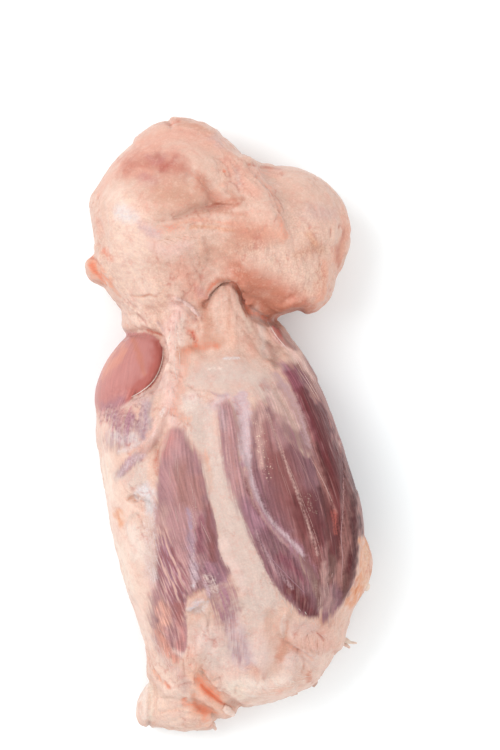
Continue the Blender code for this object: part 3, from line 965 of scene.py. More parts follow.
@dataclass(frozen=True)
class Neck(Region):
    """The narrow neck: tendon, sinew band, pale flap, joint plate and cut red muscle."""

    folds: tuple[Fold, ...] = (
        Fold(-0.6, ((-9, 47, 1.2), (-7.5, 52, 1.3), (-4, 55.4, 1.3), (1, 55.8, 1.3), (4.5, 53, 1.3),
                    (7, 48, 1.4), (10, 44.8, 1.4), (16, 41.5, 1.4), (22, 42, 1.2)), True),
        Fold(0.9, ((-20, 50, 1.5), (-16, 47, 1.8), (-13, 45, 1.8), (-11, 42, 1.4))),
        Fold(-0.9, ((-18, 48, 1.2), (-14.5, 44.5, 1.4), (-12.5, 41, 1.2)), True),
        Fold(0.5, ((-2, 54, 2), (-3, 46, 2.2), (-4, 38, 2.2), (-6, 31, 2))),
        Fold(0.4, ((2.5, 53, 2), (5, 46, 2.2), (9, 38, 2.2), (13, 31, 2))),
        Fold(-0.3, ((1, 50, 1.4), (1.5, 42, 1.8), (1, 34, 1.4))),
        Fold(-0.9, ((-13.4, 36.8, 0.9), (-12.4, 33.2, 0.9)), True),
        Fold(-0.7, ((-35, 37.4, 1), (-32, 37.2, 1.2), (-28, 36.4, 1.2), (-24.8, 34.4, 1.1)), True),
        Fold(-0.8, ((-40, 43, 1.2), (-34, 42.5, 1.4), (-30, 40, 1.2)), True),
        Fold(0.8, ((-34, 45, 2), (-30, 42, 2), (-27, 39, 1.8))),
        Fold(0.7, ((-38, 34, 1.6), (-33, 35.2, 1.8), (-27.4, 34.2, 1.4))),
        Fold(-0.7, ((-27, 44, 1.0), (-25.5, 40, 1.2), (-25, 37, 1.0)), True),
        Fold(-0.5, ((-37, 51, 0.9), (-33, 50.4, 1.1), (-27, 50.2, 0.9)), True),
        Fold(-1.5, ((-24.4, 32, 1.3), (-24.2, 27, 1.4), (-26, 21, 1.5), (-28.6, 17, 1.5), (-31.6, 14, 1.4),
                    (-36, 11.2, 1.3)), True),
        Fold(0.8, ((-22.6, 24, 1.6), (-24, 19, 1.7), (-27, 15, 1.7), (-31, 11.6, 1.6), (-36, 8.8, 1.4))),
        Fold(-0.5, ((-16, 40, 1.0), (-17, 30, 1.2), (-18, 20, 1.0)), True),
        Fold(-0.5, ((-20.5, 38, 1.0), (-21, 26, 1.2), (-20.5, 14, 1.0)), True),
        Fold(0.5, ((17.5, 40, 1.0), (20.5, 35, 1.4), (25, 30.4, 1.3))),
        Fold(-0.7, ((15.6, 40.4, 1.0), (17.4, 36, 1.2), (21.6, 31.6, 1.1)), True),
    )
    flows: tuple[Course, ...] = (
        ((0, 54, 3), (0, 44, 4), (0, 34, 5)),
        ((6, 48, 3), (14, 36, 4), (24, 20, 4)),
        ((-21, 46, 3), (-24, 26, 3), (-22, 0, 3)),
        ((-12, 44, 3), (-10, 30, 4)),
        ((-12, 22, 6), (12, 16, 6)),
        ((-32, 36, 4), (-38, 20, 5), (-45, 8, 5)),
        ((-40, 42, 4), (-28, 40, 4)),
        ((18, 38, 3), (26, 28, 3), (34, 14, 3)),
    )
    fat: tuple[Stain, ...] = (
        Stain(Tone.SHELL, 0.9, ((-38, 48, 8), (-33, 41, 7))),
        Stain(Tone.PETAL, 0.9, ((-20, 46, 6), (-22, 32, 6), (-22, 14, 6), (-21, 2, 5))),
        Stain(Tone.CREAM, 0.6, ((-17.4, 42, 2.5), (-18, 30, 2.5))),
        Stain(Tone.SHELL, 0.7, ((-22, 34, 3), (-22.4, 28, 3.4), (-22, 20, 3))),
        Stain(Tone.SHELL, 0.7, ((-36, 48, 4), (-33, 46, 3))),
        Stain(Tone.SAND, 0.95, ((-1, 52, 5), (0, 45, 7), (2, 36, 10), (3, 28, 13))),
        Stain(Tone.CLAY, 0.85, ((-9, 50, 3), (-8.5, 42, 4), (-8.5, 35, 4))),
        Stain(Tone.OATMEAL, 0.95, ((-12, 18, 9), (0, 20, 12), (10, 18, 11), (17, 12, 7))),
        Stain(Tone.TAN, 0.7, ((-3, 52, 1), (-3.4, 44, 1.4), (-4.4, 36, 1.6))),
        Stain(Tone.CLAY, 0.6, ((0.6, 53, 0.9), (0.8, 46, 1.1), (0.4, 38, 1))),
        Stain(Tone.BUTTER, 0.6, ((3.4, 52, 1), (6, 45, 1.4), (9, 38, 1.6))),
        Stain(Tone.MIST, 0.8, ((-14, 10, 4), (-8, 6, 5), (0, 12, 4))),
        Stain(Tone.OATMEAL, 0.9, ((-6, 20, 7), (4, 21, 7))),
        Stain(Tone.CREAM, 0.95, ((-14, 8, 7), (-12, -2, 6))),
        Stain(Tone.PEACH, 0.5, ((0, 42, 4), (1, 33, 4))),
        Stain(Tone.APRICOT, 0.6, ((8, 33, 3), (9.5, 28, 3))),
        Stain(Tone.OATMEAL, 0.8, ((11, 46, 2.5), (13, 38, 3), (14.5, 28, 3))),
        Stain(Tone.MAROON, 0.5, ((16, 33, 2.4), (18, 28, 3), (19, 24, 3))),
        Stain(Tone.PETAL, 0.8, ((19, 35, 2.5), (26, 28, 3), (32, 18, 3))),
        Stain(Tone.BLUSH, 0.8, ((-24, 18, 3), (-30, 12, 3), (-37, 9, 2.4))),
        Stain(Tone.LILAC, 0.85, ((-31, 9, 4), (-30.5, 2, 4), (-33, -3, 3))),
    )
    lean: tuple[Stain, ...] = (
        Stain(Tone.ROSE, 1.0, ((-34, 34, 14), (-40, 24, 18), (-46, 12, 16), (-48, 5, 10)), 0.3),
        # deep red, darker along the right and lower edge away from the key light: partly painted shade
        Stain(Tone.BRICK, 0.85, ((-28, 32, 3.5), (-27, 26, 4.5), (-30, 20, 4))),
        Stain(Tone.BRICK, 0.85, ((-30, 17, 3), (-34, 13.4, 3), (-39, 10, 2.6))),
        Stain(Tone.BRICK, 0.7, ((-33, 18, 3.5), (-37, 14, 3.5))),
        # painted highlight: a lighter band down the red muscle's middle
        Stain(Tone.COPPER, 0.6, ((-36.5, 33.5, 1.8), (-34, 27, 2), (-32.6, 20.5, 1.6))),
        Stain(Tone.MELON, 0.5, ((-41, 30, 3), (-45, 25, 4), (-48, 19, 3))),
        Stain(Tone.ROSE, 0.8, ((-41, 24, 3), (-44, 17, 5), (-47, 11, 4))),
        Stain(Tone.MAUVE, 0.6, ((-46, 8, 4), (-41, 10, 4))),
        Stain(Tone.BRICK, 0.95, ((18, 39, 3), (21, 35, 4), (23, 33, 3))),
        Stain(Tone.APRICOT, 0.85, ((23.5, 33, 3), (27, 29.4, 2.6))),
    )
    veil: tuple[Stain, ...] = (
        Stain(Tone.CORAL, 0.6, ((-16.4, 29, 2.4), (-13, 30.6, 3), (-9, 31, 2.6), (-4, 31.4, 1.8))),
        Stain(Tone.CLAY, 0.6, ((-18, 27, 3), (-12, 31, 5), (-4, 33, 4))),
        Stain(Tone.APRICOT, 0.5, ((-16.4, 27, 3.4), (-18, 18, 3.4), (-19.4, 10, 3))),
        Stain(Tone.MELON, 0.45, ((-20.6, 7, 3), (-18.4, 4, 2.8), (-15, 2.8, 2))),
        Stain(Tone.CORAL, 0.5, ((-14, 37.6, 1.5), (-12.6, 34.4, 2), (-12, 31.6, 1.6))),
        Stain(Tone.BRICK, 0.9, ((-13.6, 36.8, 0.6), (-12.9, 34.8, 0.7), (-12.3, 33, 0.6))),
        Stain(Tone.PETAL, 0.7, ((-20, 50, 1.2), (-16.6, 48.2, 1.5), (-13, 45.6, 1.4), (-11, 43, 1))),
        # painted shadow under the pale flap's lower left edge
        Stain(Tone.DUSTY, 0.6, ((-18.4, 47, 0.8), (-15, 44.2, 1), (-12.6, 41.4, 0.9))),
        Stain(Tone.RUST, 0.85, ((-31, 37.6, 0.9), (-28.6, 36.6, 1.1), (-25.6, 35.8, 0.9))),
        Stain(Tone.SHELL, 0.35, ((-38, 37, 1.2), (-33, 37.8, 1.3), (-27, 38.4, 1.2))),
        Stain(Tone.LAVENDER, 0.6, ((-27, 40.6, 0.8), (-25.4, 38.4, 0.9), (-24.8, 37, 0.8))),
        Stain(Tone.BRICK, 0.55, ((-34.4, 43.6, 0.8), (-32.4, 41.6, 0.9), (-31.2, 39.4, 0.8))),
        Stain(Tone.COPPER, 0.5, ((-37, 51, 0.7), (-33, 50.6, 0.8), (-30, 51.2, 0.8), (-27, 50.4, 0.7))),
        Stain(Tone.BLUSH, 0.8, ((-23.4, 21, 1.3), (-27, 16.4, 1.5), (-31, 13, 1.5), (-36, 9.8, 1.4), (-41, 7.4, 1))),
        Stain(Tone.LAVENDER, 0.6, ((-32.6, 8.6, 0.9), (-33.6, 4, 1), (-33.4, -1, 0.9))),
        Stain(Tone.STEEL, 0.35, ((-28.6, 12, 1), (-30, 6, 1.2), (-29.4, 0, 1))),
        Stain(Tone.COPPER, 0.3, ((-15, 1.6, 0.8), (-13.8, 0.2, 1), (-14, -1.8, 0.7))),
        Stain(Tone.LILAC, 0.35, ((-6, 13.4, 1), (-2.6, 12.2, 1.3), (1, 13, 0.9))),
        Stain(Tone.OATMEAL, 0.5, ((2, 13.2, 0.7), (6, 14.8, 0.8), (10, 16.4, 0.7))),
        Stain(Tone.CREAM, 0.5, ((-7.4, 22.4, 0.7), (-4.8, 22.8, 0.9), (-2, 22.8, 0.7))),
        Stain(Tone.PEARL, 0.7, ((-1, 26.4, 0.8), (2, 26.8, 0.9), (4.4, 26.8, 0.7))),
        Stain(Tone.OATMEAL, 0.6, ((16, 40.6, 0.8), (17.2, 38.4, 0.9), (19, 35.4, 0.7))),
    )
    marks: tuple[Mark, ...] = (
        Mark(Mask.LEAN, 0.8, ((-45, 5, 4), (-40, 2.4, 5), (-36, 1, 4)), 5),
        Mark(Mask.LEAN, 0.35, ((-47, -4, 3), (-41, -5, 4), (-36, -5, 3)), 5),
        Mark(Mask.SPOTTED, 0.8, ((-46, 4.6, 4), (-41, 2.4, 5), (-36, 2, 4)), 4),
        Mark(Mask.SPOTTED, 0.6, ((-41, -3, 3), (-36, -2.4, 3)), 3),
        Mark(Mask.SPOTTED, 0.6, ((-33, 10, 3), (-32, 2, 3)), 3),
        Mark(Mask.SPOTTED, 0.2, ((-44, 13, 3), (-40, 10.5, 3)), 4),
        Mark(Mask.SMOOTH, 1.0, ((-31, 31, 5), (-32, 25, 6), (-35, 18, 5)), 4),
        Mark(Mask.SMOOTH, 0.85, ((-40, 32, 6), (-44, 24, 8), (-46, 14, 7)), 4),
        Mark(Mask.SMOOTH, 0.9, ((-10, 20, 6), (2, 21, 8), (9, 19, 6)), 4),
    )
    patches: tuple[Patch, ...] = (
        Patch(Mask.LEAN, 1.0, (
            (-34, 36.5, 1), (-30, 36.2, 1), (-27, 34, 0.8), (-24.8, 30, 0.6), (-24.6, 26, 0.6), (-26, 21, 0.6),
            (-28.5, 17, 0.7), (-32, 13.8, 0.8), (-36, 11, 1.2), (-40, 8.5, 2), (-44, 6.5, 3), (-50, 6, 3),
            (-56, 12, 2),
            (-56, 22, 1), (-48, 32, 1), (-40, 37, 1))),
        Patch(Mask.LEAN, 0.9, (
            (17, 40, 1), (19, 40, 1), (22, 36.5, 1), (25, 33, 1.2), (27.5, 30.5, 1.5), (26, 29.5, 1.5), (23, 31, 1.5),
            (20, 33.5, 1.2), (18, 36, 1), (16.8, 38, 1))),
    )
    strands: tuple[Strand, ...] = (
        Strand(Tone.LINEN, ((15.6, 41, 0.1), (17, 38.4, 0.2), (20, 34, 0.18), (24, 29.6, 0.1)), 0.35),
        Strand(Tone.CREAM, ((-24.9, 31, 0.1), (-25.1, 26.6, 0.22), (-26.8, 21, 0.28), (-29.4, 17, 0.28),
                                    (-33, 13.9, 0.22), (-37, 11.6, 0.1)), 0.5),
    )
    sheaves: tuple[Sheaf, ...] = (
        Sheaf(Tone.CREAM, 12, 8, 0.14, 0.25, ((-20, 40, 3), (-21, 24, 3), (-20, 8, 3))),
        Sheaf(Tone.SHELL, 7, 12, 0.16, 0.3, ((20, 35, 2), (27, 27, 2.4), (33, 17, 2))),
    )
    shreds: tuple[Shred, ...] = (
        Shred(Tone.BLUSH, ((-20, 50.2, 0.3), (-17.2, 48.6, 0.7), (-14.4, 46.6, 0.9), (-12.4, 44.4, 0.7),
                                   (-11.2, 42.8, 0.3)), 0.35, 0.1, 0.2),
    )


@dataclass(frozen=True)
class Shank(Region):
    """The broad lean part: bellies of muscle between strips of cream fascia."""

    folds: tuple[Fold, ...] = (
        Fold(-0.5, ((17, 3, 1.4), (21, -9, 1.6), (27, -22, 1.6), (33, -38, 1.5), (38, -54, 1.3))),
        Fold(-0.4, ((43, -4, 1.4), (44.8, -16, 1.6), (44.8, -31, 1.6), (44.6, -46, 1.4))),
        Fold(0.4, ((6, -12, 1.8), (9, -22, 1.6), (13, -31, 1.6), (20, -40, 1.6), (27, -48, 1.9))),
        Fold(0.3, ((31, -9, 1.5), (35, -16, 1.4), (38.4, -24, 1.3))),
        Fold(-0.5, ((-27, -8, 1.3), (-27.2, -18, 1.4))),
        Fold(-0.7, ((36, 17, 3), (41, 7, 3), (45, -4, 3), (48, -16, 3), (50, -24, 2))),
        Fold(-1.6, ((-37.5, -27.6, 1.5), (-35.5, -27.8, 1.5)), True),
        Fold(0.5, ((-42, -9.5, 1.5), (-36, -8, 1.7), (-30, -4, 1.8), (-27, 1.6, 1.7), (-24.4, 7, 1.5))),
        Fold(-0.5, ((-38, -10.6, 1.2), (-32.4, -6.4, 1.4), (-28.4, -1, 1.4), (-25.6, 4.6, 1.2))),
        Fold(0.4, ((-36, -13, 1.3), (-30.4, -8.4, 1.5), (-26, -1.6, 1.4), (-23.6, 4, 1.2))),
        Fold(-0.4, ((-34, -34, 1.2), (-38, -36, 1.4), (-40, -41, 1.2))),
        Fold(0.5, ((-30, -24, 2.2), (-32, -27, 3))),
        Fold(0.7, ((-15, -70.2, 1.2), (-12.6, -68.6, 1.8), (-9, -66.6, 1.4))),
        Fold(-0.6, ((-14, -72, 1), (-12, -71, 1.2)), True),
        Fold(0.6, ((-8.6, -58.4, 1), (-5.6, -59.4, 1.4), (-4, -63, 1.2))),
    )
    flows: tuple[Course, ...] = (
        ((-20, -2, 4), (-18, -24, 5), (-17, -38, 5)),
        ((-29, -40, 4), (-23, -54, 5), (-17, -68, 5)),
        ((-30, -58, 4), (-25, -72, 4), (-18, -88, 4)),
        ((-9, 0, 4), (-6, -20, 4), (0, -42, 4), (8, -64, 5)),
        ((0, 8, 3), (3, -12, 4), (8, -30, 4), (20, -48, 4), (32, -68, 4)),
        ((12, 4, 4), (16, -12, 5), (22, -28, 5), (31, -46, 4), (37, -60, 4)),
        ((21, 24, 3), (29, 9, 4), (36, -6, 4), (41, -26, 4), (43, -56, 4)),
        ((42, 2, 3), (48, -22, 4), (49, -46, 4), (45, -68, 4)),
        ((-49, 0, 4), (-46, -20, 4), (-42, -42, 5), (-35, -70, 5)),
        ((-24, 6, 3), (-30, -5, 3), (-40, -18, 3)),
        ((-38, -24, 3), (-30, -28, 4), (-30, -40, 4)),
    )
    fat: tuple[Stain, ...] = (
        Stain(Tone.SHELL, 0.95, ((-48, 0, 5), (-46, -20, 6), (-43, -36, 7), (-39, -52, 8),
                                         (-35, -68, 8), (-31, -82, 6))),
        Stain(Tone.SHELL, 0.8, ((-38, -10, 8), (-38, -26, 9), (-37, -44, 8), (-33, -62, 6))),
        Stain(Tone.BUTTER, 0.7, ((-42, -48, 5), (-38, -62, 5))),
        Stain(Tone.BUTTER, 0.7, ((-47, -12, 3), (-45, -26, 3.5))),
        Stain(Tone.OATMEAL, 0.8, ((-34, -12, 4), (-34, -22, 4), (-41, -18, 4)), 0.6),
        Stain(Tone.CREAM, 0.8, ((-36, -40, 5), (-34, -50, 5))),
        Stain(Tone.AMBER, 0.7, ((-42.5, -33, 2.6), (-40.5, -37.5, 2.6))),
        Stain(Tone.PEARL, 0.85, ((-34, -26.6, 3), (-30.6, -25.6, 5), (-29.6, -31, 3.4))),
        Stain(Tone.PEARL, 0.7, ((-42, -4, 5), (-37, -5, 4))),
        Stain(Tone.DUSTY, 0.6, ((-34, -10, 4), (-27, -3, 4))),
        Stain(Tone.OATMEAL, 0.95, ((-10.5, 4, 8), (-7, -8, 7), (-4, -20, 7), (-0.5, -32, 8),
                                         (4, -43, 9), (9, -54, 10), (13, -66, 11)), 0.6),
        Stain(Tone.TAN, 0.6, ((-8, -12, 2.4), (-6, -24, 2))),
        Stain(Tone.LINEN, 0.8, ((-2, -44, 3), (2.6, -55, 4), (6, -62, 4))),
        Stain(Tone.CREAM, 0.6, ((-14.6, -84, 2), (-18, -88, 2.4))),
        Stain(Tone.MIST, 0.95, ((5.6, 11, 4), (6.4, 3, 4.4), (7.2, -6, 4), (8.6, -14, 3)), 0.5),
        Stain(Tone.MAUVE, 0.7, ((9.6, -19, 3), (14, -32, 3), (24, -45, 4))),
        Stain(Tone.TAN, 0.7, ((20, 18, 4), (26, 6, 4), (31, -4, 3))),
        Stain(Tone.CLAY, 0.85, ((38, -74, 5), (36, -79, 4))),
        Stain(Tone.AMBER, 0.95, ((53, -44, 3), (54, -52, 4), (53, -60, 4), (49, -68, 4))),
        Stain(Tone.BUTTER, 0.6, ((54, -48, 2), (54, -62, 2.4))),
    )
    lean: tuple[Stain, ...] = (
        Stain(Tone.COCOA, 1.0, ((24, 28, 8), (38, 8, 13), (48, -20, 14), (50, -50, 14)), 0.3),
        Stain(Tone.MAUVE, 0.95, ((-44, 4, 5), (-40, -1, 6), (-36, 4, 5), (-38, -14, 5))),
        Stain(Tone.FADED, 1.0, ((-20, 0, 10), (-18, -24, 15), (-17, -48, 17), (-20, -70, 16), (-20, -90, 10))),
        Stain(Tone.COCOA, 0.85, ((-17, -16, 6), (-17, -28, 6))),
        Stain(Tone.ROSE, 0.7, ((-22, -4, 5), (-24, -10, 4))),
        Stain(Tone.DUSTY, 0.8, ((-24, -32, 4), (-24.5, -41, 4))),
        Stain(Tone.MIST, 0.8, ((-28.4, -22, 2), (-28.6, -27, 2.4))),
        Stain(Tone.FADED, 0.7, ((-26, -72, 3), (-24.4, -76, 3.4), (-24, -80, 2.4))),
        Stain(Tone.BERRY, 0.7, ((11, -32, 3), (13.6, -36.6, 3.4), (16, -40, 3))),
        Stain(Tone.COCOA, 0.7, ((19, -8, 3), (20.6, -13, 3.6), (22, -18, 3))),
        Stain(Tone.WINE, 0.7, ((26.6, -32, 3), (28.4, -36.6, 3.6), (30, -42, 3))),
        Stain(Tone.LINEN, 0.8, ((-20, -87, 2), (-17.6, -88.4, 2)), 0.8),
        Stain(Tone.COCOA, 0.8, ((-12, -20, 4), (-11, -30, 4))),
        Stain(Tone.BERRY, 0.8, ((-10.5, -36, 3), (-10, -46, 3))),
        Stain(Tone.MUSCLE, 0.9, ((-7.5, -31, 2.2), (-6, -42, 3), (-5, -51, 3))),
        Stain(Tone.LILAC, 0.8, ((-14, -41, 3), (-14, -48, 3.4))),
        Stain(Tone.LILAC, 0.7, ((-13.4, -52, 3), (-13, -58, 3))),
        Stain(Tone.MAUVE, 0.9, ((-25, -46, 5), (-21, -57, 6), (-19, -65, 6))),
        Stain(Tone.APRICOT, 0.85, ((-26, -68, 4), (-25, -76, 4))),
        Stain(Tone.ROSE, 0.8, ((-18.5, -69, 3), (-18, -76, 3))),
        Stain(Tone.ROSE, 0.8, ((-17.2, -78, 2.6), (-18, -86, 3))),
        Stain(Tone.PETAL, 0.6, ((-30, -33, 4.6), (-30.4, -48, 4.8), (-30.4, -62, 4.4))),
        Stain(Tone.MELON, 0.6, ((-28, -79, 3.6), (-24, -85, 4), (-20, -91, 3))),
        Stain(Tone.MAUVE, 0.95, ((-7, -54, 5), (-2, -60, 6), (0, -70, 7))),
        Stain(Tone.FADED, 1.0, ((-1, 9, 5), (1, -2, 7), (2, -14, 7), (5, -26, 7))),
        Stain(Tone.LAVENDER, 0.8, ((-2, 6, 3), (-1, 0, 3))),
        Stain(Tone.FADED, 0.8, ((1.4, 0, 2.4), (2.4, -10, 2.6), (4, -21, 2.8))),
        Stain(Tone.MAUVE, 0.95, ((8, -30, 6), (12, -38, 7))),
        Stain(Tone.PLUM, 0.95, ((15, -44, 7), (20, -50, 8), (25, -56, 8))),
        Stain(Tone.BERRY, 0.85, ((21, -49, 3.4), (25, -54, 3.6), (28, -59, 3))),
        Stain(Tone.WINE, 0.9, ((24, -62, 4), (30, -68, 5), (34, -72, 4))),
        Stain(Tone.MUSCLE, 1.0, ((15, -1, 8), (19, -12, 11), (25, -28, 12), (32, -44, 10), (37, -58, 6))),
        Stain(Tone.FADED, 0.85, ((19, 4, 4), (20, -6, 6))),
        Stain(Tone.DUSTY, 0.9, ((12.4, 9, 5), (13, 3, 5), (12.6, -4, 4), (13, -14, 2.6))),
        Stain(Tone.WINE, 0.85, ((27, -28, 6), (31, -38, 6))),
        Stain(Tone.WINE, 0.8, ((33, -27, 4), (35.5, -37, 4), (36, -45, 3))),
        Stain(Tone.MAROON, 0.8, ((36, -24, 3), (38.4, -33, 3), (39, -42, 2.4))),
        Stain(Tone.MAUVE, 1.0, ((20, 26, 3), (23, 22, 3))),
        Stain(Tone.BERRY, 0.95, ((24.6, 21, 3), (29.6, 12.5, 4.6), (34.4, 3, 6), (39.6, -8, 6)), 0.6),
        Stain(Tone.WINE, 0.9, ((29.6, 12.5, 4.2), (34.6, 2.5, 5.4), (39.6, -8, 6), (42, -24, 6), (42.4, -36, 5),
                               (42, -50, 4)), 0.7),
        Stain(Tone.MAROON, 0.8, ((34, -6, 2.4), (37, -15, 2.6), (38.6, -22, 2))),
        Stain(Tone.WINE, 0.85, ((33.6, 9, 2.4), (37, 2, 3.6), (40, -7, 4), (41.6, -17, 3.4)), 0.7),
        Stain(Tone.PETAL, 0.9, ((29, 26, 3), (34.6, 17, 1.7), (39, 8, 1.1), (42.6, 0, 0.9), (44.2, -7, 0.8))),
        Stain(Tone.MAROON, 0.85, ((42, -6, 2), (44.2, -15, 2), (44.8, -26, 1.8))),
        Stain(Tone.MAROON, 1.0, ((47, -8, 3), (49, -24, 5), (49.4, -46, 5), (46.4, -62, 4))),
        Stain(Tone.PLUM, 0.7, ((45.6, -2, 1.2), (48, -12, 1.3), (48.4, -21, 1.3))),
        Stain(Tone.UMBER, 0.8, ((46.4, -58, 3), (46, -66, 3))),
        # painted highlight: a pale line along the right flank's outline
        Stain(Tone.DUSTY, 0.25, ((51.4, -22, 1.6), (52, -36, 1.8), (51.4, -46, 1.6))),
        Stain(Tone.UMBER, 0.9, ((41, -50, 3), (40, -58, 4))),
        Stain(Tone.DUSTY, 0.7, ((36.4, -52, 2), (38, -60, 3.6), (39.4, -68, 4.6)), 0.95),
        Stain(Tone.BLUSH, 0.9, ((18, 12, 4), (20, 6, 4), (18, 17, 4))),
        Stain(Tone.BLUSH, 0.9, ((21.4, 12, 3), (24.6, 4, 3.6), (27, -1, 3))),
        Stain(Tone.PLUM, 0.9, ((22, 0, 3.4), (26, -3, 3.4), (28, -6, 2.6))),
        Stain(Tone.LAVENDER, 0.8, ((-46, -4, 4), (-40, -4, 4), (-36, -2, 3))),
    )
    veil: tuple[Stain, ...] = (
        Stain(Tone.PEARL, 0.4, ((-42, -9.4, 1.3), (-36, -8, 1.6), (-30, -4, 1.7), (-27, 1.6, 1.6), (-24.4, 7, 1.3))),
        Stain(Tone.APRICOT, 0.6, ((-38, -10.4, 1.1), (-32.4, -6.2, 1.5), (-28.4, -1, 1.5), (-26, 4, 1.1))),
        Stain(Tone.DUSTY, 0.5, ((-36, -12.6, 1.4), (-29.4, -7, 1.8), (-25, 0.4, 1.6), (-23, 6, 1.2))),
        Stain(Tone.MIST, 0.6, ((-41.4, -18.4, 1.6), (-38.4, -14, 2.4), (-34.6, -11.6, 2), (-31.6, -10.4, 1.2))),
        Stain(Tone.RUST, 0.45, ((-26.8, -9, 1.1), (-27.4, -13, 1.8), (-27.2, -18, 1.3))),
        Stain(Tone.CLAY, 0.8, ((-38.6, -28, 0.8), (-37, -27.4, 1.3), (-35.6, -28.4, 1))),
        Stain(Tone.OATMEAL, 0.4, ((-34, -32.6, 1), (-37, -34.4, 1.2), (-38.8, -38, 1))),
        Stain(Tone.LILAC, 0.7, ((-15.4, -31.4, 1.1), (-14.4, -35, 1.5), (-13.8, -38.6, 1.2))),
        Stain(Tone.MIST, 0.6, ((-13.4, -50, 1.8), (-13.2, -56, 2.4), (-12.6, -62, 2))),
        Stain(Tone.PEARL, 0.8, ((-13, -61.2, 1),)),
        Stain(Tone.PEARL, 0.25, ((-29.4, -30, 3.4), (-30, -42, 4), (-30, -58, 4)), 0.7),
        Stain(Tone.MAUVE, 0.5, ((7, -14, 2), (8.8, -21, 2.4), (12, -28.4, 2.8), (16, -34.8, 3), (20.4, -40, 3.4),
                                        (25, -44.8, 3.8), (29, -50, 4), (33, -56, 4))),
        Stain(Tone.UMBER, 0.6, ((29, -50, 2), (32, -55, 2.4), (34.4, -61, 2.6), (35.6, -68, 2.6))),
        Stain(Tone.WINE, 0.5, ((7, -20, 1.6), (9, -27, 1.8), (12, -33, 1.4))),
        Stain(Tone.LAVENDER, 0.75, ((19, 20, 2.4), (23.4, 14, 2.6), (27.4, 6, 2.4), (30.2, -3, 2), (32, -10, 1.5))),
        Stain(Tone.COCOA, 0.8, ((31.8, -9, 1.6), (34.6, -15.4, 1.5), (37.2, -21, 1.3), (39.6, -27, 1.1),
                                (42, -33, 1))),
        Stain(Tone.COCOA, 0.7, ((44.8, -20, 0.9), (44.8, -30, 1.2), (44.4, -44, 1.4), (44.6, -54, 1.5),
                                (43.6, -62, 1.7))),
        Stain(Tone.DUSTY, 0.9, ((15.6, 5, 0.8), (18.6, -3, 1), (22, -12, 1), (25.4, -21, 1), (28.6, -30, 1),
                                (31.8, -39, 1), (34.8, -49, 1))),
        Stain(Tone.MIST, 0.85, ((6, 4, 2), (7.2, -8, 1.9), (8.6, -16, 1.6), (10.6, -24, 1.4), (14, -31, 1.3),
                                (18.6, -37.6, 1.3),
                                        (24, -43, 1.3), (29, -49, 1.4))),
        Stain(Tone.WINE, 0.5, ((42, -3, 0.8), (43.4, -11, 0.9), (44.5, -20, 0.8))),
        Stain(Tone.BRICK, 0.7, ((41.2, -32.6, 1.5), (41.9, -37, 1.8), (42.3, -41, 1.4))),
        Stain(Tone.WINE, 0.7, ((41.8, -42.6, 1.2), (41.5, -46, 1.3), (41.4, -49, 1))),
        Stain(Tone.MELON, 0.3, ((-8.6, -8, 1.2), (-8, -12, 1.4), (-7, -16, 1.2))),
        Stain(Tone.CREAM, 0.45, ((-9, -57.6, 1.8), (-6.4, -59, 2.6), (-4.6, -62.6, 2.2))),
        Stain(Tone.LAVENDER, 0.45, ((11, -40, 1.2), (15, -48, 1.4), (19.6, -55.4, 1.4), (25, -62, 1.2))),
        Stain(Tone.COCOA, 0.5, ((1, -4, 1.2), (2.4, -13, 1.4), (4, -22, 1.3))),
        Stain(Tone.DUSTY, 0.4, ((-0.6, 4, 1), (-0.2, -8, 1), (1.4, -19, 1))),
        Stain(Tone.ICE, 0.4, ((-14.6, -70, 1.6), (-12.6, -68.8, 2.6), (-10, -67.2, 2.2))),
        Stain(Tone.MIST, 0.4, ((-9, -60, 1.6), (-7, -62.5, 2.2), (-6.4, -65, 1.8))),
        Stain(Tone.CREAM, 0.45, ((-5.4, -58.6, 0.8), (-3.8, -61.4, 1), (-3.8, -64, 0.8))),
        Stain(Tone.PEARL, 0.4, ((-12.4, -71.4, 1.6), (-9.6, -70.4, 2), (-7.6, -67.6, 1.6))),
        Stain(Tone.OATMEAL, 0.45, ((-11, -77, 1.4), (-9.4, -74.6, 2), (-8, -71.6, 1.4))),
    )
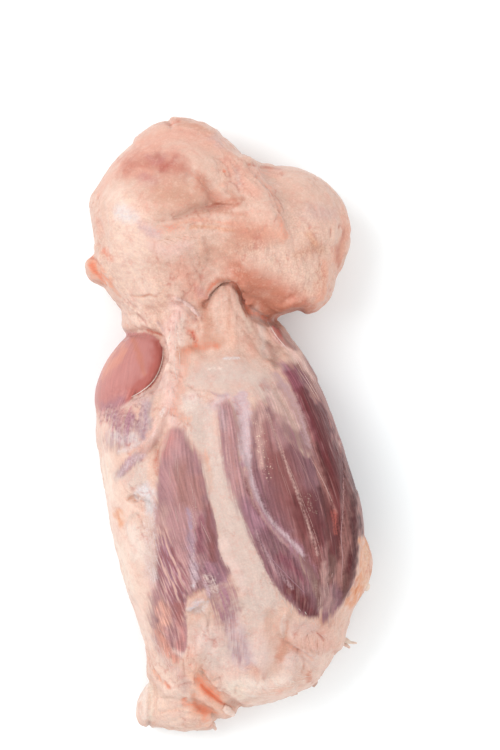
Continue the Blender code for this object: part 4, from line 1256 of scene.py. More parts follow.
    marks: tuple[Mark, ...] = (
        Mark(Mask.LEAN, 0.75, ((-4, -60, 4), (-2, -66, 5), (0, -71, 4)), 5),
        Mark(Mask.LEAN, 0.3, ((-2, -74, 4), (2, -80, 4), (5, -88, 3)), 6),
        Mark(Mask.LEAN, 0.85, ((18, 8, 4), (22, 5, 6), (25, 0, 6), (29, -6, 5)), 6),
        Mark(Mask.LEAN, 0.7, ((20, 15, 4), (24, 7, 5), (29, -4, 5)), 6),
        Mark(Mask.LEAN, 0.2, ((14, 13, 3), (19, 18, 4)), 6),
        Mark(Mask.LEAN, 0.8, ((25, -46, 2), (28, -50, 2.4), (31.4, -55, 2.6), (34.6, -62, 2.6), (36, -68, 2.4)), 2),
        Mark(Mask.SMOOTH, 0.6, ((-9, 4, 6), (-5, -16, 6), (0, -36, 7), (6, -54, 8)), 4),
        Mark(Mask.SMOOTH, 0.6, ((-44, -14, 5), (-42, -34, 6), (-38, -54, 6), (-34, -74, 5)), 4),
        Mark(Mask.SMOOTH, 0.45, ((15, -2, 5), (21, -16, 8), (28, -32, 8)), 5),
        Mark(Mask.LEAN, 0.6, ((-41, -17.6, 1.4), (-38, -14, 2), (-34.4, -11.6, 1.6)), 2.4),
        # bundles: pale fibre lines, partly painted highlight on their ridges
        Mark(Mask.BUNDLES, 0.8, ((-26, -42, 3), (-23, -52, 5), (-20, -62, 5), (-19, -72, 4)), 5),
        Mark(Mask.BUNDLES, 0.35, ((-24, -66, 5), (-22, -80, 5)), 5),
        Mark(Mask.BUNDLES, 0.12, ((18, -50, 6), (27, -64, 6)), 4),
        Mark(Mask.SPOTTED, 0.4, ((-8, -54, 3), (-4, -60, 4), (0, -68, 4)), 4),
        Mark(Mask.SPOTTED, 0.4, ((-38, -14, 2.4), (-33, -11, 2)), 2),
        Mark(Mask.SPOTTED, 0.3, ((-2, -74, 4), (2, -78, 3)), 3),
        Mark(Mask.SMOOTH, 0.4, ((-20, -6, 5), (-18, -22, 8), (-19, -36, 8)), 5),
        # painted highlights: white glint specks on the bellies
        Mark(Mask.GLINTS, 1.0, ((11.4, 2, 1.5), (13, -5, 2.4), (15, -12, 2.2), (15.6, -19, 1.4)), 2),
        Mark(Mask.GLINTS, 0.5, ((31, -26, 1.6), (33.6, -32, 2.4)), 2.4),
        Mark(Mask.GLINTS, 0.6, ((-13, -44, 1.6), (-12, -54, 1.8)), 2),
        Mark(Mask.GLINTS, 0.5, ((-13, -30, 1.4), (-13, -38, 1.6)), 2),
    )
    patches: tuple[Patch, ...] = (
        Patch(Mask.LEAN, 1.0, (
            (10, 8, 5), (12, 9.5, 4), (15, 9, 4), (17, 8, 3), (19, 4, 3), (21.5, 0, 3), (24, -4, 4), (28, -8, 4),
            (31, -11, 3), (31.5, -6, 2), (30, -1, 2), (28.5, 3, 2), (27, 8, 2), (25, 13, 2.5), (23, 18, 3),
            (21, 22, 4), (20, 25, 4), (23, 25, 3), (26, 25, 3), (31, 28, 2.5), (34.5, 27, 2), (39.5, 19, 1.5),
            (44.5, 9, 1.5), (48.5, -4, 1.5),
            (52, -16, 1.5), (55, -30, 1.5), (54.5, -42, 1.5), (51.5, -43, 1.2), (51, -48, 1.2), (50.5, -53, 1.2),
            (49.5, -58, 1.2), (48.5, -62, 1.5), (46.5, -66, 2), (44, -69.5, 2.5), (42, -71, 3), (40, -74, 5),
            (37, -75, 5), (36, -66, 4), (33, -58, 4), (31, -54, 3), (28, -50, 3), (24, -45.5, 2.5), (20, -41, 2),
            (16, -36.5, 2), (13, -31.5, 2), (11, -27, 2), (9.8, -21, 2), (9.3, -15, 2.5), (9, -9, 3),
            (8.8, -3, 3.5), (9, 3, 4))),
        Patch(Mask.LEAN, 1.0, (
            (-3.5, 8, 3), (-3.5, 4, 3), (-3, -2, 2.5), (-2.5, -8, 2), (-1.5, -14, 2), (-0.5, -19, 2.5), (1, -23, 3.5),
            (3.5, -30, 4), (6.5, -37, 4), (9.5, -43, 3), (12, -49, 2), (15, -55, 2), (18.5, -61, 2), (22, -66, 2.5),
            (26, -70, 3), (30, -73, 3), (34, -74, 3), (36, -72, 2.5), (35.5, -67, 2.5), (33.5, -62, 3),
            (31, -57.5, 2.5), (29, -53.5, 2), (27, -50, 1.5), (23, -45.5, 1.5), (19, -41.5, 1.5), (15.5, -37, 1.5),
            (12.5, -32.5, 2), (9.8, -27.5, 3), (7.5, -20, 3), (5.5, -12, 3), (4.5, -5, 2.5), (4.2, 0, 3), (3, 5, 3.5),
            (1.5, 9, 3), (-1, 10, 2.5))),
        Patch(Mask.LEAN, 1.0, (
            (-20, 0, 3), (-22.5, -2, 3), (-24, -6, 3), (-25.5, -10, 3), (-26.2, -15, 3), (-26.6, -20, 3),
            (-27, -25, 3.5), (-27.5, -30, 4.5), (-28.5, -36, 6), (-29, -44, 7), (-29.4, -52, 7), (-29.8, -60, 6),
            (-29.5, -68, 5), (-30, -74, 5), (-29, -80, 5), (-26, -86, 5), (-22, -90, 3), (-19.5, -92, 2),
            (-18.5, -90, 2), (-16, -86.5, 1.5), (-15.5, -80, 1.2), (-15.5, -75, 1.2), (-16, -70, 1.5),
            (-15, -66, 2.5),
            (-13, -64.5, 3), (-10, -63, 3), (-6, -62, 4), (-3, -62, 5), (0, -59, 4), (0.5, -55, 3), (-1, -52, 2),
            (-2.5, -48, 1.2), (-3.5, -42, 1.2),
            (-4.5, -36, 1.5), (-6, -30, 2), (-7.5, -24, 3), (-9, -18, 3.5), (-11, -12, 4), (-13.5, -7, 4),
            (-16, -2, 4), (-18, 0, 3))),
    )
    strands: tuple[Strand, ...] = (
        Strand(Tone.COCOA, ((16, 6, 0.06), (18.6, -2, 0.14), (22, -11, 0.18), (26, -20, 0.2), (29, -28, 0.2),
                                    (32.4, -36.6, 0.18), (35.4, -46, 0.16), (37.4, -54, 0.06)), 0.3),
        Strand(Tone.COCOA, ((18, 7, 0.06), (24, -5, 0.12), (30, -17, 0.14), (35, -28, 0.08)), 0.25),
        Strand(Tone.FADED, ((43.4, -4, 0.06), (44.4, -13, 0.14), (45, -23, 0.16), (44.6, -33, 0.2), (44, -42, 0.2),
                                    (44.6, -51, 0.2), (44, -60, 0.1)), 0.3),
        Strand(Tone.LAVENDER, ((9, -20, 0.06), (11.6, -27.6, 0.12), (15.6, -34.6, 0.16), (20, -40, 0.16),
                               (25.6, -45.4, 0.12),
                                    (30, -51.6, 0.06)), 0.2),
        Strand(Tone.DUSTY, ((32, -11.6, 0.08), (35, -17, 0.16), (38, -23, 0.16), (40.6, -29, 0.08)), 0.3),
        Strand(Tone.MAUVE, ((12, -43, 0.06), (17.6, -51, 0.14), (24, -58, 0.14), (30, -64, 0.08)), 0.25),
    )
    sheaves: tuple[Sheaf, ...] = (
        Sheaf(Tone.DUSTY, 14, 8, 0.12, 0.25, ((-19, -14, 4), (-17, -28, 6), (-14, -40, 6))),
        Sheaf(Tone.COCOA, 7, 10, 0.1, 0.2, ((14, -4, 4), (20, -18, 8), (28, -34, 7), (34, -48, 3))),
        Sheaf(Tone.DUSTY, 14, 5, 0.16, 0.3, ((38, -56, 3), (39, -66, 4), (39, -76, 3))),
        Sheaf(Tone.OATMEAL, 14, 3, 0.16, 0.35, ((18, -62, 1.4), (23, -67.4, 1.6), (29, -72.4, 2), (34, -75, 2))),
    )
    shreds: tuple[Shred, ...] = (
        Shred(Tone.BUTTER, ((53.2, -60.4, 0.7), (54.4, -62.6, 1.3), (54, -64.4, 0.6)), 0.8, 0.4, 0.3, 22.0),
    )


@dataclass(frozen=True)
class FootEnd(Region):
    """The fat end towards the foot: hollow, folds, creases and flaps."""

    folds: tuple[Fold, ...] = (
        Fold(0.8, ((-15, -70, 1.6), (-11, -67.4, 2), (-7, -64.5, 1.6))),
        Fold(-0.8, ((-16, -67, 1.2), (-11, -64.5, 1.4), (-7, -62, 1.2)), True),
        Fold(0.8, ((-12, -73, 2), (-9, -78, 2.4), (-12, -85, 2))),
        Fold(-0.9, ((-6.5, -72, 1), (-7, -77, 1.2), (-9, -82, 1)), True),
        Fold(-0.9, ((34.6, -79.6, 0.8), (37.4, -82.8, 0.9)), True),
        Fold(-0.6, ((27.2, -86, 0.9), (28.6, -88.6, 1.1), (30, -92, 1), (29, -96, 0.9)), True),
        Fold(0.9, ((22, -73, 1.4), (21, -76.6, 1.6), (21.4, -80.4, 1.5))),
        Fold(-0.6, ((23.4, -75, 1.1), (23, -79, 1.2)), True),
        Fold(0.9, ((23, -82, 1.4), (28, -84.6, 1.7), (33, -88, 1.6), (36, -89.6, 1.2))),
        Fold(-0.7, ((23, -84.4, 1.1), (27, -86.6, 1.2), (33, -90.4, 1.1)), True),
        Fold(-0.8, ((31, -92, 1.2), (34, -95, 1.3), (35, -99, 1.1)), True),
        Fold(0.7, ((32, -94.5, 1.5), (32.4, -98.6, 1.8))),
        Fold(-0.6, ((-11.6, -98, 1.3), (-9, -101, 1.7), (-6, -104, 1.6), (-3, -107, 1.5), (0.4, -109.2, 1.2)), True),
        Fold(-0.5, ((-13.4, -103, 1.1), (-12.4, -108, 1.4), (-11, -110.2, 1.3)), True),
        Fold(1.0, ((-9.6, -105.4, 1.7), (-6, -108.4, 2), (-2.4, -111, 1.7))),
        Fold(-0.8, ((-8, -107, 0.8), (-5.4, -109.6, 0.9)), True),
        Fold(-0.7, ((-30.6, -101, 1.2), (-29.9, -107, 1.6), (-30.6, -115, 1.3)), True),
        Fold(-2.2, ((-31, -120, 1.6), (-30.8, -116.6, 1.2))),
        Fold(-1.8, ((-3.6, -118, 1.8), (-4.8, -115, 1.5), (-5.6, -112.8, 1)), True),
        Fold(-1.0, ((-32.6, -101.6, 1.4), (-31.4, -99.8, 1.2))),
        Fold(0.8, ((-14.6, -92.6, 1.3), (-12.6, -94.4, 1.3))),
        Fold(0.8, ((-7.6, -95.4, 1.2), (-6, -97.6, 1.4))),
        Fold(0.9, ((-4.4, -99.4, 1.3), (-2.6, -102, 1.4))),
        Fold(0.8, ((-13.6, -98.6, 1.2), (-12.4, -101.4, 1.3))),
        Fold(0.7, ((-10, -104, 1.2), (-8, -105.6, 1.2))),
        Fold(0.7, ((-5, -111.4, 1.2), (-2.6, -112.4, 1.2))),
        Fold(-0.7, ((-10.4, -93.6, 0.8), (-9.6, -96, 0.9)), True),
        Fold(-0.6, ((-5.6, -98.8, 0.7), (-3.6, -98.2, 0.7)), True),
        Fold(-0.8, ((-29, -95, 1.0), (-25.6, -99, 1.2), (-22.4, -102, 1.1)), True),
        Fold(0.8, ((-13, -94, 1.8), (-14, -100, 2), (-15, -106, 1.8))),
        Fold(-0.6, ((-15, -107.6, 0.9), (-21, -106.6, 1.1), (-27.4, -106.4, 0.9)), True),
        Fold(-0.6, ((-15, -110, 0.9), (-20.6, -110.6, 1.1), (-27, -112, 0.9)), True),
        Fold(-0.6, ((-13.4, -112, 0.9), (-18, -114, 1.1), (-24, -116.4, 0.9)), True),
        Fold(0.5, ((-20, -95, 1.4), (-19.4, -101, 1.6), (-17, -105, 1.4))),
        Fold(-0.6, ((-17.4, -93, 0.9), (-16.4, -99, 1.1), (-14.6, -103, 0.9)), True),
        Fold(-0.5, ((-11, -114.6, 0.9), (-9.6, -118.4, 1.0)), True),
        Fold(-0.5, ((4, -101, 1), (12, -103, 1.2), (22, -101.6, 1)), True),
        Fold(-0.4, ((12, -95, 1), (12.6, -99, 1.2), (10, -103.6, 1)), True),
        Fold(-0.6, ((-26, -80, 0.9), (-22.4, -86, 1.1), (-19, -91.6, 0.9)), True),
    )
    flows: tuple[Course, ...] = (
        ((-14, -86, 4), (-18, -100, 4)),
        ((3, -76, 5), (7, -98, 5)),
        ((20, -74, 5), (19, -98, 5)),
        ((32, -76, 4), (38, -89, 4)),
        ((-12, -97, 3), (0, -109, 3)),
        ((6, -106, 4), (30, -101, 4)),
        ((-33, -101, 3), (-33, -114, 3)),
        ((-24, -114, 4), (-10, -111, 4)),
    )
    fat: tuple[Stain, ...] = (
        Stain(Tone.LINEN, 0.95, ((-8, -82, 11), (8, -88, 18), (24, -88, 16), (34, -84, 10))),
        Stain(Tone.OATMEAL, 0.8, ((6, -70, 8), (14, -72, 8), (2, -82, 7), (-6, -92, 7))),
        Stain(Tone.MIST, 0.85, ((2, -74, 5), (5, -84, 6), (8, -92, 5))),
        Stain(Tone.SAND, 0.9, ((16, -71, 3.4), (17.6, -78, 4.4), (19, -86, 5), (18, -97, 4.4))),
        # painted shade: darker down the middle of the hollow
        Stain(Tone.COPPER, 0.6, ((21, -82, 3), (20.4, -90, 3.4))),
        Stain(Tone.APRICOT, 0.7, ((28, -84, 7), (38, -84, 7))),
        Stain(Tone.BLUSH, 0.7, ((26, -77, 4), (33, -77, 4))),
        Stain(Tone.CREAM, 0.85, ((2, -100, 7), (12, -101, 6), (22, -98, 5))),
        Stain(Tone.APRICOT, 0.7, ((9, -93, 2.6), (12, -96, 3.4))),
        Stain(Tone.SHELL, 0.75, ((10, -107.8, 2.4), (20, -105.6, 2.8), (31, -101.4, 3), (36, -94, 3), (40, -89, 3))),
        Stain(Tone.COPPER, 0.7, ((32, -96, 2.4), (32.6, -99.4, 2.4))),
        Stain(Tone.SHELL, 0.8, ((-27, -91, 6), (-24, -99, 6), (-18, -105, 6))),
        Stain(Tone.CREAM, 0.9, ((-33, -103, 4), (-33, -114, 4))),
        Stain(Tone.BUTTER, 0.8, ((-30.4, -101, 1.6), (-30, -107, 2), (-30.6, -115, 1.6))),
        # painted shade: darker in the hollow beside the ridge
        Stain(Tone.CLAY, 0.8, ((21, -80, 3), (22.6, -84, 4), (21, -88, 3))),
        Stain(Tone.BUTTER, 0.7, ((2, -101, 4), (6, -104, 4))),
        Stain(Tone.SHELL, 0.7, ((-21, -109, 3), (-17, -111, 4))),
        Stain(Tone.SHELL, 0.85, ((-27, -107, 5), (-23, -114, 6), (-15, -113, 5))),
        Stain(Tone.PEACH, 0.85, ((-9, -117, 4), (-5.6, -116, 3.4))),
        Stain(Tone.PEACH, 0.9, ((-13, -96, 4.6), (-9, -102, 6), (-4, -107, 5.6), (-11, -111, 6)), 0.8),
        Stain(Tone.BLUSH, 0.8, ((-19, -95, 3), (-17, -101, 3))),
        Stain(Tone.PEACH, 0.85, ((-6, -107.6, 2.2), (-2.6, -111, 2.6), (1.4, -112, 2))),
        Stain(Tone.BLUSH, 0.7, ((-29, -82, 2.4), (-25, -89, 2.6), (-21, -94, 2.4))),
    )
    veil: tuple[Stain, ...] = (
        Stain(Tone.SALMON, 0.75, ((-11.6, -98, 2.2), (-9, -100.6, 3), (-6, -103.6, 2.8), (-3.4, -106.8, 1.8))),
        Stain(Tone.CORAL, 0.85, ((-10, -100.6, 0.9), (-7.4, -103.2, 1.2), (-4.4, -106.2, 1.1), (-1, -108.6, 0.8))),
        Stain(Tone.COPPER, 0.6, ((-2.6, -107.8, 0.7), (0, -109, 0.8), (2.6, -110, 0.6))),
        Stain(Tone.SALMON, 0.7, ((-13, -107.6, 0.7), (-10.6, -110, 0.9), (-7.6, -111.4, 0.9), (-4.4, -112, 0.6))),
        Stain(Tone.MELON, 0.75, ((-13, -104, 1.2), (-12.2, -108, 1.7), (-10, -110.4, 2), (-6.4, -111.6, 1.5))),
        Stain(Tone.SALMON, 0.6, ((-17, -106.4, 2.6), (-13, -109.6, 3.4), (-9, -112.6, 2.8))),
        Stain(Tone.CORAL, 0.5, ((-24, -99.6, 0.9), (-22.6, -101.4, 1.2))),
        Stain(Tone.MELON, 0.5, ((-29, -95.4, 0.9), (-26, -98.6, 1), (-23, -101, 0.9))),
        Stain(Tone.RUST, 0.8, ((34.8, -79.8, 0.6), (36.2, -81.4, 0.7), (37.4, -82.8, 0.5))),
        Stain(Tone.COPPER, 0.45, ((27.2, -86, 0.8), (28.4, -88.4, 1), (29.8, -92, 0.8), (29, -95.6, 0.7))),
        # painted shadow: brown along the furrows under the foot's ridges
        Stain(Tone.COPPER, 0.5, ((23.2, -75, 0.9), (22.8, -79.4, 0.9))),
        Stain(Tone.MELON, 0.5, ((23.4, -84.6, 0.9), (27.4, -87, 1), (33, -90.6, 0.9))),
        Stain(Tone.OATMEAL, 0.7, ((22, -73, 1), (21, -76.6, 1.2), (21.4, -80.4, 1.1))),
        Stain(Tone.TAN, 0.6, ((24, -82.4, 1), (29, -84.8, 1.2), (34, -88.4, 1))),
        Stain(Tone.UMBER, 0.3, ((-8.6, -72.4, 0.8), (-7.4, -75.4, 1), (-8, -78, 0.8))),
        Stain(Tone.SHELL, 0.5, ((-15.4, -107.8, 0.8), (-21, -106.8, 1), (-27, -106.4, 0.8))),
        Stain(Tone.PEACH, 0.5, ((-15, -110.2, 0.8), (-20.6, -110.8, 1), (-26.6, -112, 0.8))),
        Stain(Tone.BLUSH, 0.5, ((3, -76, 0.9), (5, -84, 1.1), (6.6, -91, 0.9))),
        Stain(Tone.MIST, 0.5, ((0, -78, 0.8), (1.6, -86, 1), (3, -92, 0.8))),
    )
    marks: tuple[Mark, ...] = (
        Mark(Mask.CELLS, 0.8, ((-27, -104, 5), (-22, -114, 6), (-10, -116, 4)), 3),
        Mark(Mask.CELLS, 0.5, ((6, -98, 6), (24, -96, 6), (34, -86, 5)), 4),
        Mark(Mask.SMOOTH, 0.5, ((14, -76, 5), (18, -92, 5)), 5),
    )
    sheaves: tuple[Sheaf, ...] = (
        Sheaf(Tone.CREAM, 12, 6, 0.14, 0.3, ((12, -103, 3), (24, -100, 4), (34, -94, 3))),
        Sheaf(Tone.CLAY, 12, 6, 0.12, 0.2, ((30, -80, 4), (36, -84, 5))),
        Sheaf(Tone.PETAL, 10, 6, 0.12, 0.25, ((-29, -80, 2.4), (-24, -88, 3), (-20, -95, 2.4))),
    )
    shreds: tuple[Shred, ...] = (
        Shred(Tone.BUTTER, ((43.6, -82.6, 1.5), (46, -83.8, 1.1), (48.6, -84.8, 0.6),
                            (50.8, -85, 0.25)), 0.9, 0.2, 0.0, 16.0),
        Shred(Tone.SHELL, ((43.6, -84, 1.3), (46, -85.4, 1), (48, -87, 0.4)), 0.8, 0.2, 0.0, 14.0),
        Shred(Tone.SHELL, ((-12.8, -116.4, 1.4), (-12.4, -118.4, 1.2), (-11.8, -119.8, 0.5)), 0.8, 0.2, 0.0, 9.0),
        Shred(Tone.SHELL, ((-7, -115.8, 1.5), (-5.6, -118, 1.1), (-4.4, -119.6, 0.4)), 0.8, 0.2, 0.0, 9.0),
        Shred(Tone.SHELL, ((-1.6, -109.6, 1.4), (0.8, -111.4, 1.5), (2.2, -113, 0.6)), 0.9, 0.3, 0.2),
        Shred(Tone.TAN, ((34, -97.6, 1.2), (34.4, -100.2, 1.2), (33.4, -102.2, 0.5)), 0.8, 0.1, 0.0, 14.0),
        Shred(Tone.SAND, ((29, -100.4, 1.4), (30.6, -102, 1), (31.4, -102.8, 0.4)), 0.7, 0.1, 0.0, 13.0),
        Shred(Tone.SAND, ((22.6, -103.6, 1.6), (25, -105, 1.1), (27.6, -104.8, 0.4)), 0.7, 0.1, 0.0, 12.0),
        Shred(Tone.SHELL, ((14, -106.6, 1.4), (16.6, -107.8, 1), (19, -107.8, 0.4)), 0.6, 0.1, 0.0, 12.0),
        Shred(Tone.SAND, ((38.6, -90, 1.2), (40, -91.4, 0.8), (40.6, -92.4, 0.3)), 0.7, 0.1, 0.0, 16.0),
        Shred(Tone.SAND, ((42, -79, 1.2), (44, -79.8, 0.8), (45.4, -79.6, 0.3)), 0.7, 0.1, 0.0, 18.0),
    )


@dataclass(frozen=True)
class Relief:
    """Heights of the skin's fine relief, in millimetres, as pairs for fat and for lean."""

    streaks: tuple[float, float] = (0.05, 0.04)
    wrinkles: tuple[float, float] = (0.08, 0.02)
    lumps: tuple[float, float] = (0.36, 0.08)
    bumps: tuple[float, float] = (0.3, 0.03)
    creases: tuple[float, float] = (0.42, 0.04)
    cells: float = 0.35
    bundles: float = 0.25
    fibres: float = 0.06
    calming: float = 0.8  # share of the relief that a smooth place loses
    table: tuple[float, float] = (0.0004, 0.003)  # metres over the table between which it sets in

    def crease_amount(self, skin: Skin, across: np.ndarray) -> np.ndarray:
        """Finds the creases, which run along the flow and come in groups."""
        along = np.stack([across / 3.4, *(skin.points[:, :2].T / (7 * MM))], 1)
        creased = np.abs(skin.lumps(1.0, 21, along) + 0.3 * skin.lumps(2.2, 23))
        return ramp(0.12 - creased, 0, 0.12) * ramp(skin.lumps(11, 31), -0.15, 0.2)

    def raise_skin(self, skin: Skin, across: np.ndarray) -> None:
        """Raises and sinks the skin's points; its amounts are all set before."""
        amounts = skin.amounts
        lean, calm = amounts[Mask.LEAN], 1 - self.calming * amounts[Mask.SMOOTH]

        def height(pair: tuple[float, float]) -> np.ndarray:
            """Carries a height over from fat to lean."""
            return pair[0] + (pair[1] - pair[0]) * lean

        # the crease amount both sinks the skin and, in the shader, paints the creases darker: painted shade
        amounts[Mask.CREASE][:] = calm * self.crease_amount(skin, across)
        combed = np.stack([across / 1.7, *(skin.points[:, :2].T / (11 * MM))], 1)
        rise = calm * (height(self.streaks) * amounts[Mask.GRAIN] + height(self.wrinkles) * amounts[Mask.WRINKLE])
        rise += calm * height(self.lumps) * skin.lumps(6.0, 3)
        rise += calm * height(self.bumps) * skin.lumps(3.1, 8)
        rise += self.cells * amounts[Mask.CELLS] * skin.lumps(2.3, 7)
        rise -= height(self.creases) * amounts[Mask.CREASE]
        rise += (self.bundles * amounts[Mask.BUNDLES] + self.fibres * lean * calm) * skin.lumps(1.0, 5, combed)
        skin.push(rise * ramp(skin.points[:, 2], *self.table))
        skin.points[:, 2] = np.maximum(skin.points[:, 2], 0)
        skin.refresh()


@dataclass
class Knuckle:
    """The whole surface: the solid's form made fine, then carved and coloured."""

    grid: float = 0.76  # millimetres between the skin's points
    rounding: int = 6  # rounds of smoothing
    triangles: int = 196000
    relief: Relief = Relief()
    regions: tuple[Region, ...] = (FatCap(), Neck(), Shank(), FootEnd())
    base_fat: Tone = Tone.SAND
    base_lean: Tone = Tone.PLUM
    finish: MeatFinish = field(default_factory=MeatFinish)

    def fine_form(self) -> bpy.types.Mesh:
        """Makes a fine, even and closed surface from the solid, coarser on its under side."""
        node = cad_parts["knuckle"]
        bm = bmesh.new()
        bm.from_mesh(node.data)
        bmesh.ops.remove_doubles(bm, verts=bm.verts, dist=1e-6)
        mesh = bpy.data.meshes.new("form")
        bm.to_mesh(mesh)
        bm.free()
        form = bpy.data.objects.new("form", mesh)
        bpy.context.scene.collection.objects.link(form)
        rounder = form.modifiers.new("rounder", "SUBSURF")
        rounder.levels = rounder.render_levels = 2
        even = form.modifiers.new("even", "REMESH")
        even.mode = "VOXEL"
        even.voxel_size = self.grid * MM
        smooth = form.modifiers.new("smooth", "SMOOTH")
        smooth.factor, smooth.iterations = 0.5, self.rounding
        mesh = plain_mesh(form)
        form.modifiers.clear()
        form.data = mesh
        normals = Skin.read(mesh.vertex_normals, "vector")
        group = form.vertex_groups.new(name="under")
        level = np.round(10 * ramp(-normals[:, 2], -0.2, 0.3)).astype(int)
        for step in range(1, 11):
            chosen = np.nonzero(level == step)[0]
            if len(chosen):
                group.add(chosen.tolist(), step / 10, "REPLACE")
        thin = form.modifiers.new("thin", "DECIMATE")
        thin.ratio = min(1.0, self.triangles / (2 * len(mesh.polygons)))
        thin.vertex_group = group.name
        mesh = plain_mesh(form)
        bpy.data.objects.remove(form)
        return mesh

    def build(self) -> bpy.types.Object:
        """Builds and dresses the piece."""
        skin = Skin(self.fine_form())
        for region in self.regions:
            region.carve(skin)
        skin.refresh()
        skin.find_flow(tuple(flow for region in self.regions for flow in region.flows))
        weights = skin.flow_weights()
        across = skin.across_flow()
        streaks = skin.grain(11, weights, 1, 7)
        wrinkles = skin.grain(12, weights, 6, 16)
        skin.prepare_warp()
        skin.coats[Coat.FAT][:] = self.base_fat.value
        skin.coats[Coat.LEAN][:] = self.base_lean.value
        for region in self.regions:
            region.colour(skin)
        amounts = skin.amounts
        amounts[Mask.ABOVE][:] = ramp(skin.normals[:, 2], -0.8, -0.3)
        for mask in (Mask.GLINTS, Mask.SPOTTED, Mask.BUNDLES):
            amounts[mask] *= amounts[Mask.ABOVE]
        amounts[Mask.GRAIN][:] = streaks
        amounts[Mask.WRINKLE][:] = wrinkles
        self.relief.raise_skin(skin, across)
        skin.store()
        item = skin.mesh.attributes.new("across", "FLOAT", "POINT")
        item.data.foreach_set("value", across.astype(np.float32))
        item = skin.mesh.attributes.new("flow", "FLOAT_VECTOR", "POINT")
        item.data.foreach_set("vector", skin.flow.astype(np.float32).ravel())
        return new_piece("knuckle_skin", skin.mesh, self.finish.material())


def plain_mesh(obj: bpy.types.Object) -> bpy.types.Mesh:
    """Turns an object with its modifiers into a plain mesh."""
    graph = bpy.context.evaluated_depsgraph_get()
    return bpy.data.meshes.new_from_object(obj.evaluated_get(graph))


def new_piece(name: str, mesh: bpy.types.Mesh, material: bpy.types.Material) -> bpy.types.Object:
    """Makes an object of a mesh, with one material and smooth faces."""
    piece = bpy.data.objects.new(name, mesh)
    bpy.context.scene.collection.objects.link(piece)
    mesh.shade_smooth()
    mesh.materials.clear()
    mesh.materials.append(material)
    return piece


@dataclass
class Drape:
    """The finished skin, looked up from above or from beside it."""

    skin: bpy.types.Object
    tree: BVHTree = field(init=False)

    def __post_init__(self) -> None:
        """Prepares the skin for looking up."""
        mesh = self.skin.data
        faces = [tuple(face.vertices) for face in mesh.polygons]
        self.firsts = [face[0] for face in faces]
        self.tree = BVHTree.FromPolygons([v.co for v in mesh.vertices], faces)
        self.flow = Skin.read(mesh.attributes["flow"].data, "vector")

    def under(self, x: float, y: float) -> tuple[Vector, Vector, Vector] | None:
        """Finds the skin, its normal and its flow under a place of the plan."""
        spot, normal, face, _ = self.tree.ray_cast(over_plan(x, y, 200), Vector((0, 0, -1)))
        return None if spot is None else (spot, normal, Vector(self.flow[self.firsts[face]]))

    def beside(self, place: Vector) -> tuple[Vector, Vector, Vector]:
        """Finds the nearest skin, its normal and its flow."""
        spot, normal, face, _ = self.tree.find_nearest(place)
        return spot, normal, Vector(self.flow[self.firsts[face]])


